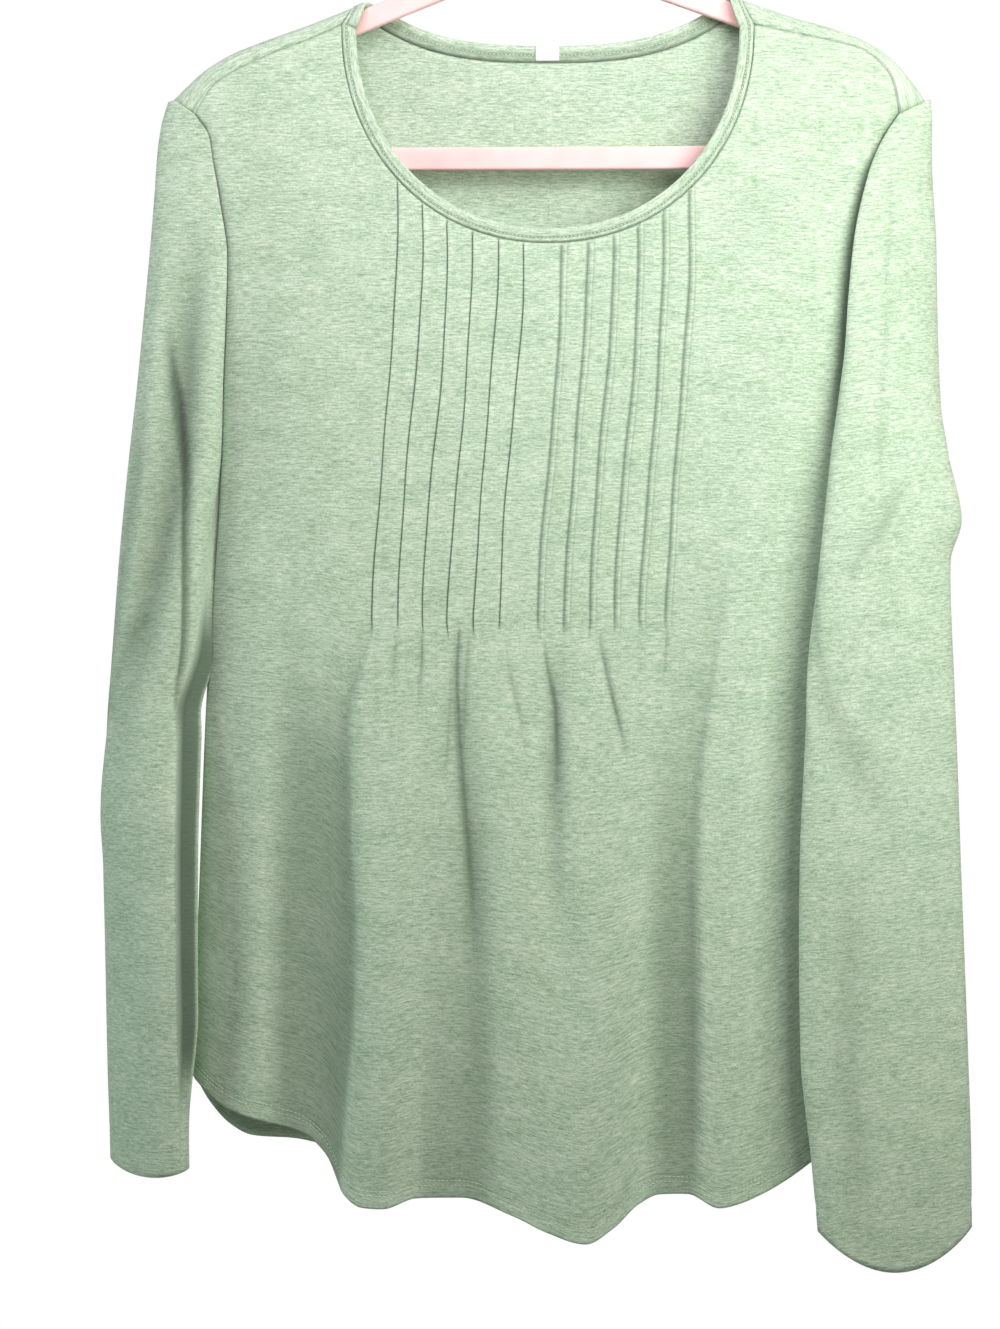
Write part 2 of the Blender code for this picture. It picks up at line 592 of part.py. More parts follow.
def make_front(material, collection):
    """Front panel, from the forward shoulder seams and the neckline to the curved hem."""
    rows = panel_grid(True)
    width = len(rows[0])
    points = [point for row in rows for point in row]
    mesh = mesh_of("front", points, grid_faces(0, len(rows), width, False))
    return thicken(add_object("front", mesh, material, collection), WALL)


def make_back(material, collection):
    """Back panel with the strips that pass over the shoulders to the forward seams."""
    rows = panel_grid(False)
    width = len(rows[0])
    points = [point for row in rows for point in row]
    faces = grid_faces(0, len(rows), width, True)
    count = len(SHOULDER_SHARES)
    for side in (-1, 1):
        shares = list(reversed(SHOULDER_SHARES)) if side < 0 else list(SHOULDER_SHARES)
        first = 0 if side < 0 else width - count
        joined = [list(range(first, first + count))]
        for wrap in reversed(WRAP_SHARES[:-1]):
            line = []
            for share in shares:
                share = min(share, STRIP_END)
                x, y, z = shoulder_point(side, share, wrap)
                after = shoulder_point(side, min(share + SHARE_STEP, 1.0), 0.0)
                before = shoulder_point(side, max(share - SHARE_STEP, 0.0), 0.0)
                run = math.hypot(after[0] - before[0], after[2] - before[2])
                lift = STRIP_GAP * (1.0 - wrap) ** 8 / run
                x += lift * abs(after[2] - before[2]) * side
                z += lift * abs(after[0] - before[0])
                points.append((float(x), float(y), float(z)))
                line.append(len(points) - 1)
            joined.append(line)
        for lower, upper in zip(joined, joined[1:]):
            for place in range(count - 1):
                faces.append((lower[place], lower[place + 1], upper[place + 1], upper[place]))
    mesh = mesh_of("back", points, faces)
    fix_facing(mesh, outward_at_last_row=True)
    return thicken(add_object("back", mesh, material, collection), WALL)


def fix_facing(mesh, outward_at_last_row):
    """Make all faces of a sheet agree, then point them away from the body's inside."""
    work = bmesh.new()
    work.from_mesh(mesh)
    bmesh.ops.recalc_face_normals(work, faces=work.faces)
    total = sum(face.normal.y * face.calc_area() for face in work.faces)
    if (total < 0) == outward_at_last_row:
        bmesh.ops.reverse_faces(work, faces=work.faces)
    work.to_mesh(mesh)
    work.free()


def cuff_z(side, x):
    """Height of the cuff's lower edge."""
    cuff = CUFF[side]
    share = np.clip((x - cuff.mid_x) / cuff.half_width, -1.0, 1.0)
    return cuff.edge_z - cuff.dip * (1.0 - share ** 2)


def make_sleeve(side, material, collection):
    """Sleeve: an open section on the armhole above the underarm, a closed tube below it."""
    name = "sleeve_left" if side < 0 else "sleeve_right"
    angles = np.linspace(-math.pi, math.pi, SLEEVE_COLUMNS)
    underarm = side_row_z(side, UNDERARM_SHARE)
    points = []
    lines = []
    for share in CAP_SHARES:
        z = side_row_z(side, share)
        x, y = sleeve_point(side, z, angles)
        crown = SLEEVE_CROWN * (1.0 - ease(share / CROWN_END_SHARE))
        level = z + crown * (1.0 + np.cos(angles)) / 2
        if share == 0.0:
            x, y, level = tip_line(side, angles)
        line = []
        for place in range(SLEEVE_COLUMNS):
            points.append((float(x[place]), float(y[place]), float(level[place])))
            line.append(len(points) - 1)
        lines.append(line)
    lines[-1][-1] = lines[-1][0]
    for row in range(1, SLEEVE_LOWER_ROWS + 1):
        share = row / SLEEVE_LOWER_ROWS
        flat_z = underarm + (CUFF[side].edge_z - underarm) * share
        x, y = sleeve_point(side, flat_z, angles)
        level = flat_z + (cuff_z(side, x) - CUFF[side].edge_z) * share ** 4
        line = []
        for place in range(SLEEVE_COLUMNS - 1):
            points.append((float(x[place]), float(y[place]), float(level[place])))
            line.append(len(points) - 1)
        lines.append(line + [line[0]])
    faces = []
    for upper, lower in zip(lines, lines[1:]):
        for place in range(SLEEVE_COLUMNS - 1):
            faces.append((upper[place], lower[place], lower[place + 1], upper[place + 1]))
    mesh = mesh_of(name, points, faces)
    work = bmesh.new()
    work.from_mesh(mesh)
    bmesh.ops.recalc_face_normals(work, faces=work.faces)
    cuff_x = CUFF[side].mid_x * MM
    total = sum(f.normal.x * (f.calc_center_median().x - cuff_x) * f.calc_area() for f in work.faces)
    if total < 0:
        bmesh.ops.reverse_faces(work, faces=work.faces)
    work.to_mesh(mesh)
    work.free()
    return thicken(add_object(name, mesh, material, collection), WALL)


def tip_line(side, angles):
    """Top edge of a sleeve, over the shoulder tip, beside the end of the back panel's strip."""
    wraps = (angles + math.pi) / (2 * math.pi)
    places = [shoulder_point(side, 1.0, wrap) for wrap in wraps]
    x = np.array([float(p[0]) for p in places])
    y = np.array([float(p[1]) for p in places])
    z = np.array([float(p[2]) for p in places])
    return x, y, z


def neck_loop():
    """Neckline seam all round as (x, y, z, facing), facing being the way its outer side looks."""
    loop = []
    for x, y, z in panel_columns(True)[len(SHOULDER_SHARES) - 1:-len(SHOULDER_SHARES) + 1]:
        loop.append((x, y, z, 0.0))
    for wrap in WRAP_SHARES[1:]:
        x, y, z = shoulder_point(1, 0.0, wrap)
        loop.append((float(x), float(y), float(z), math.pi * wrap))
    for x in reversed(back_neck_places()):
        z, y = back_neck(x)
        loop.append((x, float(y), float(z), math.pi))
    for wrap in reversed(WRAP_SHARES[1:]):
        x, y, z = shoulder_point(-1, 0.0, wrap)
        loop.append((float(x), float(y), float(z), math.pi * wrap))
    return loop


def make_neckband(material, collection):
    """Narrow folded band round the neck opening, beside the neckline seam."""
    loop = neck_loop()
    count = len(loop)
    places = np.array([point[:3] for point in loop])
    points = []
    for index in range(count):
        along = places[(index + 1) % count] - places[index - 1]
        along /= np.linalg.norm(along)
        facing = loop[index][3]
        tilt = math.copysign(SHOULDER_SLOPE, loop[index][0]) * math.sin(facing)
        out = np.array([tilt, -math.cos(facing), math.sin(facing)])
        out -= along * np.dot(out, along)
        out /= np.linalg.norm(out)
        inward = np.cross(out, along)
        gap = SEAM_GAP + BAND_ROOM
        for reach, height in (
            (gap, -BAND_DEPTH), (gap, BAND_PROUD), (gap + BAND_WIDTH / 2, BAND_PROUD + BAND_CROWN),
            (gap + BAND_WIDTH, BAND_PROUD), (gap + BAND_WIDTH, -BAND_DEPTH),
        ):
            points.append(tuple(places[index] + inward * reach + out * height))
    sides = 5
    faces = []
    for index in range(count):
        after = (index + 1) % count
        for place in range(sides):
            nearby = (place + 1) % sides
            faces.append((index * sides + place, index * sides + nearby,
                          after * sides + nearby, after * sides + place))
    mesh = mesh_of("neckband", points, faces)
    work = bmesh.new()
    work.from_mesh(mesh)
    bmesh.ops.recalc_face_normals(work, faces=work.faces)
    work.to_mesh(mesh)
    work.free()
    return add_object("neckband", mesh, material, collection)


def make_label(material, collection):
    """Blank label on the inner side of the band at the back of the neck."""
    bpy.ops.mesh.primitive_cube_add(size=1.0)
    made = bpy.context.active_object
    made.name = "neck_label"
    made.data.name = "neck_label"
    z, y = back_neck(NECK_MID_X)
    made.dimensions = (LABEL_WIDTH * MM, LABEL_WALL * MM, LABEL_HEIGHT * MM)
    away = BAND_DEPTH + SEAM_GAP + LABEL_ROOM + LABEL_WALL / 2
    made.location = (NECK_MID_X * MM, float(y - away) * MM, (float(z) + BAND_WIDTH / 2) * MM)
    bpy.ops.object.transform_apply(location=False, rotation=False, scale=True)
    made.data.materials.append(material)
    for owner in list(made.users_collection):
        owner.objects.unlink(made)
    collection.objects.link(made)
    return made


def rounded(corners, radii):
    """Outline through corners, each replaced by an arc of its own radius."""
    outline = []
    count = len(corners)
    for index in range(count):
        here = np.array(corners[index])
        before = np.array(corners[index - 1]) - here
        after = np.array(corners[(index + 1) % count]) - here
        before /= np.linalg.norm(before)
        after /= np.linalg.norm(after)
        half_angle = math.acos(float(np.dot(before, after))) / 2
        run = radii[index] / math.tan(half_angle)
        middle = (before + after) / np.linalg.norm(before + after)
        centre = here + middle * radii[index] / math.sin(half_angle)
        start = here + before * run - centre
        sweep = math.pi - 2 * half_angle
        turn = math.copysign(1.0, start[0] * after[1] - start[1] * after[0])
        for step in range(CORNER_STEPS + 1):
            angle = turn * sweep * step / CORNER_STEPS
            outline.append(centre + np.array([
                start[0] * math.cos(angle) - start[1] * math.sin(angle),
                start[0] * math.sin(angle) + start[1] * math.cos(angle),
            ]))
    return outline


def plate(name, outlines, wall):
    """Flat plate in the hanger's plane, from closed outlines; the second is a hole."""
    data = bpy.data.curves.new(name, "CURVE")
    data.dimensions = "2D"
    data.fill_mode = "BOTH"
    data.extrude = wall / 2 * MM
    for outline in outlines:
        line = data.splines.new("POLY")
        line.points.add(len(outline) - 1)
        line.use_cyclic_u = True
        for place, (x, z) in enumerate(outline):
            line.points[place].co = (x * MM, z * MM, 0.0, 1.0)
    holder = bpy.data.objects.new(name, data)
    holder.rotation_euler = (math.pi / 2, 0.0, 0.0)
    bpy.context.scene.collection.objects.link(holder)
    bpy.context.view_layer.update()
    evaluated = holder.evaluated_get(bpy.context.evaluated_depsgraph_get())
    mesh = bpy.data.meshes.new_from_object(evaluated)
    mesh.transform(holder.matrix_world)
    work = bmesh.new()
    work.from_mesh(mesh)
    bmesh.ops.remove_doubles(work, verts=work.verts, dist=0.00001)
    bmesh.ops.recalc_face_normals(work, faces=work.faces)
    work.to_mesh(mesh)
    work.free()
    bpy.data.objects.remove(holder, do_unlink=True)
    bpy.data.curves.remove(data)
    return mesh


def post(name, radius, low_z, high_z, collection):
    """Upright cylinder on the hook's axis, used to build the hanger's neck."""
    bpy.ops.mesh.primitive_cylinder_add(vertices=20, radius=radius * MM, depth=(high_z - low_z) * MM)
    made = bpy.context.active_object
    made.name = name
    made.location = (0.0, 0.0, (low_z + high_z) / 2 * MM)
    made.hide_render = True
    made.display_type = "WIRE"
    for owner in list(made.users_collection):
        owner.objects.unlink(made)
    collection.objects.link(made)
    return made


def make_hanger_frame(material, collection, cutters):
    """Slim hanger: two arms and a bottom bar in one flat frame, with a neck that holds the hook."""
    outer = rounded(HANGER_OUTER, HANGER_OUTER_RADII)
    inner = rounded(HANGER_INNER, HANGER_INNER_RADII)
    mesh = plate("hanger_frame", (outer, inner), FRAME_WALL)
    made = add_object("hanger_frame", mesh, material, collection)
    soft = made.modifiers.new("edges", "BEVEL")
    soft.width = FRAME_EDGE * MM
    soft.segments = 1
    soft.limit_method = "ANGLE"
    soft.angle_limit = math.radians(50.0)
    boss = made.modifiers.new("neck", "BOOLEAN")
    boss.operation = "UNION"
    boss.object = post("neck_boss", BOSS_RADIUS, BOSS_BASE_Z, BOSS_TOP_Z, cutters)
    hole = made.modifiers.new("socket", "BOOLEAN")
    hole.operation = "DIFFERENCE"
    socket_base = HOOK_SHANK_Z - HOOK_CLEARANCE
    hole.object = post("hook_socket", HOOK_WIRE + HOOK_CLEARANCE, socket_base, BOSS_TOP_Z + 5.0, cutters)
    return made


def hook_line():
    """Middle of the hook's wire: up the shank, round the bend and over the rod's place."""
    centre_z = -(HOOK_RADIUS - HOOK_WIRE)
    line = [(0.0, HOOK_SHANK_Z), (0.0, centre_z - HOOK_RADIUS - 8.0)]
    start = math.radians(HOOK_START_ANGLE)
    end = math.radians(HOOK_END_ANGLE)
    first = (HOOK_RADIUS * math.cos(start), centre_z + HOOK_RADIUS * math.sin(start))
    line.append((first[0] * 0.32, first[1] - 4.6))
    steps = 22
    for step in range(steps + 1):
        angle = start + (end - start) * step / steps
        line.append((HOOK_RADIUS * math.cos(angle), centre_z + HOOK_RADIUS * math.sin(angle)))
    return line


def make_hanger_hook(material, collection):
    """Bent wire hook whose inner top is the origin."""
    data = bpy.data.curves.new("hanger_hook", "CURVE")
    data.dimensions = "3D"
    data.bevel_depth = HOOK_WIRE * MM
    data.bevel_resolution = 2
    data.use_fill_caps = True
    spline = data.splines.new("POLY")
    line = hook_line()
    spline.points.add(len(line) - 1)
    for place, (x, z) in enumerate(line):
        spline.points[place].co = (x * MM, 0.0, z * MM, 1.0)
    data.materials.append(material)
    made = bpy.data.objects.new("hanger_hook", data)
    collection.objects.link(made)
    return made


def build():
    """Build every piece of the top and of its hanger."""
    clear_scene()
    parts = new_collection(COLLECTION)
    cutters = new_collection("cutters")
    jersey = new_material(JERSEY)
    make_front(jersey, parts)
    make_back(jersey, parts)
    make_sleeve(-1, jersey, parts)
    make_sleeve(1, jersey, parts)
    make_neckband(jersey, parts)
    make_label(new_material(LABEL), parts)
    make_hanger_frame(new_material(FLOCK), parts, cutters)
    make_hanger_hook(new_material(CHROME), parts)


build()
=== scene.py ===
"""Long sleeve jersey top on a slim flocked hanger: cloth, sewing, finishes, light and camera.

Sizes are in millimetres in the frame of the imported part: +Z up, +X to the right of a viewer who
faces the front of the top, and the origin at the inner top of the hanger's hook.
"""

import logging
import math
from dataclasses import dataclass, field
from enum import Enum
from typing import NamedTuple

import bmesh
import bpy
import numpy as np
from bpy.types import Material, NodeSocket, NodeTree, Object
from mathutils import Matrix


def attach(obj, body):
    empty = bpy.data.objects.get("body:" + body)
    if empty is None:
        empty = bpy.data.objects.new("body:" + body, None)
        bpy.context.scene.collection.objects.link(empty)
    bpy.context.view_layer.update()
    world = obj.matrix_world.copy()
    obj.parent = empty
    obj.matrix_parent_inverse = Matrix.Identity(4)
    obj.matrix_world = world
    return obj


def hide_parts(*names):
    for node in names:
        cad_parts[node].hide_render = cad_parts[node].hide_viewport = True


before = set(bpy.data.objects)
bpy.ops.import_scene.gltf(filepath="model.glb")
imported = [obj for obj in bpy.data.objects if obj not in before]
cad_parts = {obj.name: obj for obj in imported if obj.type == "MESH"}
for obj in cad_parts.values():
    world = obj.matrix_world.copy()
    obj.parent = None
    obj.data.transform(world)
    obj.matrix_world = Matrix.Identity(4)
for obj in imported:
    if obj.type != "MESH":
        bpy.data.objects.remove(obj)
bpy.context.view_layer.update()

LOG = logging.getLogger("long_sleeve_top")
MM = 0.001
BODY = "root"
IMAGE_HEIGHT = 1329
Colour = tuple[float, float, float, float]
Triple = tuple[float, float, float]
Array = np.ndarray


def rows(kind: type, values: tuple) -> tuple:
    """Give the rows of a table their named columns."""
    return tuple(kind(*row) for row in values)


def ease(value: Array) -> Array:
    """Step smoothly from 0 to 1, level at both ends.

    Args:
        value: Numbers; what lies outside 0 to 1 is held at the ends.

    Returns:
        The eased numbers.
    """
    held = np.clip(value, 0.0, 1.0)
    return held * held * (3.0 - 2.0 * held)


def smooth(xs: list[float], ys: list[float], at: Array) -> Array:
    """Draw a smooth curve through points that never swings past them.

    Args:
        xs: Rising or falling places.
        ys: The value at each place.
        at: Where to read the curve.

    Returns:
        The curve's values.
    """
    places = np.asarray(xs, float)
    values = np.asarray(ys, float)
    if places[0] > places[-1]:
        places, values = places[::-1], values[::-1]
    held = np.clip(at, places[0], places[-1])
    step = np.diff(places)
    slope = np.diff(values) / step
    bend = np.zeros(len(places))
    bend[0], bend[-1] = slope[0], slope[-1]
    product = slope[:-1] * slope[1:]
    bend[1:-1] = np.where(product > 0, 2 * product / (slope[:-1] + slope[1:] + 1e-12), 0.0)
    index = np.clip(np.searchsorted(places, held, side="right") - 1, 0, len(step) - 1)
    t = (held - places[index]) / step[index]
    start = (1 + 2 * t) * (1 - t) ** 2 * values[index] + t * (1 - t) ** 2 * step[index] * bend[index]
    end = t * t * (3 - 2 * t) * values[index + 1] + t * t * (t - 1) * step[index] * bend[index + 1]
    return start + end


def column(table: tuple, key: str, name: str, at: Array) -> Array:
    """Read a named column of a table of rows at values of its key column.

    Args:
        table: Rows with named fields.
        key: Name of the field that orders the rows.
        name: Name of the field to read.
        at: Where to read it.

    Returns:
        Smooth values of the column.
    """
    return smooth([getattr(row, key) for row in table], [getattr(row, name) for row in table], at)


class Side(Enum):
    """The two sides of the top as a viewer who faces it sees them."""

    LEFT = -1
    RIGHT = 1


class Panel(Enum):
    """The two panels of the body; the value is the way their outer sides face along Y."""

    FRONT = -1
    BACK = 1


class ShoulderRow(NamedTuple):
    """One place along a shoulder: the top of the ridge, and the seam a little in front of it."""

    share: float
    ridge_x: float
    ridge_z: float
    seam_x: float
    seam_z: float


class SleeveRow(NamedTuple):
    """One level of a sleeve: an ellipse that is turned about its middle."""

    z: float
    seam_x: float
    inner_x: float
    outer_x: float
    mid_y: float
    depth: float
    turn: float
    seam_gap: float
    groove: float


class SideRow(NamedTuple):
    """One level of the side seams below the underarms."""

    z: float
    left_x: float
    right_x: float


class DepthRow(NamedTuple):
    """How far the panels' middles hang in front of and behind the hanger at one level."""

    z: float
    front: float
    back: float
    edge_power: float
    edge_root: float


class HemPoint(NamedTuple):
    """One place on a panel's lower edge."""

    x: float
    z: float


SHOULDER = {
    Side.LEFT: rows(ShoulderRow, (
        (0.00, -119, -109.5, -125.1, -121),
        (0.22, -145.5, -120, -143.5, -129.5),
        (0.45, -172, -129.5, -171, -140),
        (0.62, -192, -137.5, -191, -149.5),
        (0.77, -208, -147, -203.5, -158),
        (0.89, -219.5, -157, -210, -167),
        (1.00, -228.5, -166, -215, -176),
    )),
    Side.RIGHT: rows(ShoulderRow, (
        (0.00, 121, -104.5, 127.9, -121),
        (0.22, 152, -115, 150, -125.5),
        (0.45, 175, -121.5, 174, -130.5),
        (0.62, 195, -129, 192, -135),
        (0.77, 210, -138, 203.5, -142.5),
        (0.89, 224, -152.5, 212, -153.5),
        (1.00, 235, -168.5, 217, -175),
    )),
}

SLEEVE = {
    Side.LEFT: rows(SleeveRow, (
        (-176, -215, -215, -231.5, 0, 2, 0, 16, 0),
        (-190, -206, -206, -236, 0, 3, 0, 19, 0),
        (-205, -203.5, -203.5, -238.5, 0, 4, 0, 21, 0),
        (-230, -199, -199, -240.6, 0, 7, 0, 22, 0),
        (-265, -194.5, -194.5, -243.8, 0, 12, 0, 22, 3),
        (-300, -195.5, -195.5, -247, 0, 22, 0, 19, 7),
        (-340, -197.5, -197.5, -250.8, 0, 38, 0, 11, 10),
        (-383, -199, -199, -255.6, 0, 54, 0, 0, 12),
        (-440, -206.5, -206.5, -261.4, 0, 52, 8, 0, 11),
        (-500, -212, -212, -266.8, 0, 50, 24, 0, 7),
        (-546, -219.5, -219.5, -271.3, 0, 46, 40, 0, 3),
        (-605, -219.5, -219.5, -275.8, 0, 42, 48, 0, 0),
        (-640, -219, -219, -273.4, 0, 40, 52, 0, 0),
        (-706, -218, -218, -272.7, 0, 37, 55, 0, 0),
        (-826, -216.5, -216.5, -270.2, 0, 36, 55, 0, 0),
    )),
    Side.RIGHT: rows(SleeveRow, (
        (-175, 217, 217, 236.5, -5, 3, 0, 16, 0),
        (-190, 207, 207, 237.5, -6, 7, 4, 18, 0),
        (-215, 203, 196.5, 238.5, -8, 11, 12, 21, 0),
        (-255, 195, 187, 241.2, -11, 12, 17, 22, 0),
        (-290, 195.5, 183.5, 242, -12, 14, 19, 22, 0),
        (-320, 197, 181.5, 242.5, -14, 17, 20, 20, 0),
        (-354, 198, 177, 243.2, -17, 22, 20, 13, 0),
        (-382, 199, 172.5, 246, -20, 27, 19, 0, 0),
        (-425, 199, 167, 253.8, -25, 27, 17, 0, 0),
        (-450, 199, 164, 247, -28, 26, 16, 0, 0),
        (-486, 199, 159.5, 246.5, -31, 25, 14, 0, 0),
        (-530, 199, 156.3, 247.5, -34, 24, 12, 0, 0),
        (-574, 199, 153.8, 248.7, -37, 23, 11, 0, 0),
        (-630, 199, 151, 250, -40, 22, 10, 0, 0),
        (-683, 199, 150.4, 251.6, -42, 22, 9, 0, 0),
        (-743, 199, 151, 253.4, -44, 22, 8, 0, 0),
        (-810, 199, 157.5, 255, -46, 22, 8, 0, 0),
        (-875, 199, 163.5, 255.5, -46, 22, 8, 0, 0),
    )),
}

SIDE_SEAM = rows(SideRow, (
    (-382, -199, 199),
    (-418, -200.5, 200.5),
    (-495, -206, 205),
    (-547, -209, 208),
    (-640, -212.5, 212),
    (-720, -215.5, 215),
    (-766, -217, 216.5),
))

BODY_DEPTH = rows(DepthRow, (
    (-100, 5.5, 6, 6, 1),
    (-121, 8, 8.5, 6, 1),
    (-140, 10.5, 10.5, 6, 1),
    (-176, 14, 13, 6, 1),
    (-256, 19, 16, 5, 1),
    (-320, 23, 18.5, 4, 0.85),
    (-383, 26, 21, 3, 0.65),
    (-500, 32, 26, 2.6, 0.55),
    (-630, 38, 31, 2.5, 0.52),
    (-750, 42, 35, 2.5, 0.5),
    (-870, 45, 38, 2.5, 0.5),
))

HEM = {
    Panel.FRONT: rows(HemPoint, (
        (-217, -764.5), (-207, -773), (-196, -781), (-163, -791), (-146, -797), (-133, -809), (-122, -831),
        (-111, -838), (-98, -838.5), (-78, -833), (-52, -833), (-20, -843), (0, -852), (23, -858),
        (40, -849), (55, -836), (68, -831), (86, -831), (103, -838), (116, -836), (130, -831), (145, -823),
        (160, -813), (182, -797), (203, -779), (216.5, -764.5),
    )),
    Panel.BACK: rows(HemPoint, (
        (-217, -764.5), (-208, -783), (-196, -798), (-183, -806), (-150, -811), (-110, -822), (-60, -834),
        (0, -841), (60, -835), (110, -824), (150, -812), (183, -803), (205, -785), (216.5, -764.5),
    )),
}


class FoldKind(Enum):
    """The cross section of a fold."""

    SOFT = "soft"
    CREASE = "crease"
    CLIFF = "cliff"


class FoldPoint(NamedTuple):
    """One place along a fold: where it runs, how wide it is and how far it stands out."""

    x: float
    z: float
    width: float
    height: float


@dataclass(frozen=True)
class Fold:
    """A fold in hanging cloth, followed from its upper to its lower end.

    A soft fold is a rounded ridge or, with a height below 0, a rounded trough. A crease has a
    sharp bottom. A cliff is a trough on its left and a ridge on its right with a steep face between.
    """

    kind: FoldKind
    path: tuple[FoldPoint, ...]

    def rise(self, x: Array, z: Array) -> Array:
        """Measure how far the fold lifts the cloth.

        Args:
            x: Places across the panel.
            z: Heights on the panel.

        Returns:
            Lift towards the outer side at each place.
        """
        run = -np.asarray(z)
        places = [-point.z for point in self.path]
        middle = smooth(places, [point.x for point in self.path], run)
        width = smooth(places, [point.width for point in self.path], run)
        height = smooth(places, [point.height for point in self.path], run)
        u = (x - middle) / width
        if self.kind is FoldKind.SOFT:
            return height * np.exp(-u * u)
        if self.kind is FoldKind.CREASE:
            return height * np.exp(0.2 - np.sqrt(2.5 * u * u + 0.04))
        trough = -(1.0 - np.exp(4.0 * np.minimum(u, 0.0))) * np.exp(0.55 * np.minimum(u, 0.0))
        ridge = 0.45 * (1.0 - np.exp(-4.0 * np.maximum(u, 0.0))) * np.exp(-0.7 * np.maximum(u, 0.0))
        return height * (trough + ridge)


def fold(kind: FoldKind, points: tuple[tuple[float, ...], ...]) -> Fold:
    """Make a fold from its places, each with its x, z, width and height."""
    return Fold(kind, rows(FoldPoint, points))


def straight(
    kind: FoldKind, top: tuple[float, float], low: tuple[float, float],
    widths: tuple[float, float], heights: tuple[float, float],
) -> Fold:
    """Make a fold that runs straight and grows in over its first part.

    Args:
        kind: The cross section.
        top: Place of the upper end as (x, z).
        low: Place of the lower end as (x, z).
        widths: Width at the upper and the lower end.
        heights: Height at the upper and the lower end.

    Returns:
        The fold.
    """
    points = []
    for share in (-0.1, 0.08, 0.5, 1.0):
        grown = 0.0 if share < 0 else 1.0
        points.append(FoldPoint(
            top[0] + (low[0] - top[0]) * share,
            top[1] + (low[1] - top[1]) * share,
            widths[0] + (widths[1] - widths[0]) * share,
            (heights[0] + (heights[1] - heights[0]) * share) * grown,
        ))
    return Fold(kind, tuple(points))


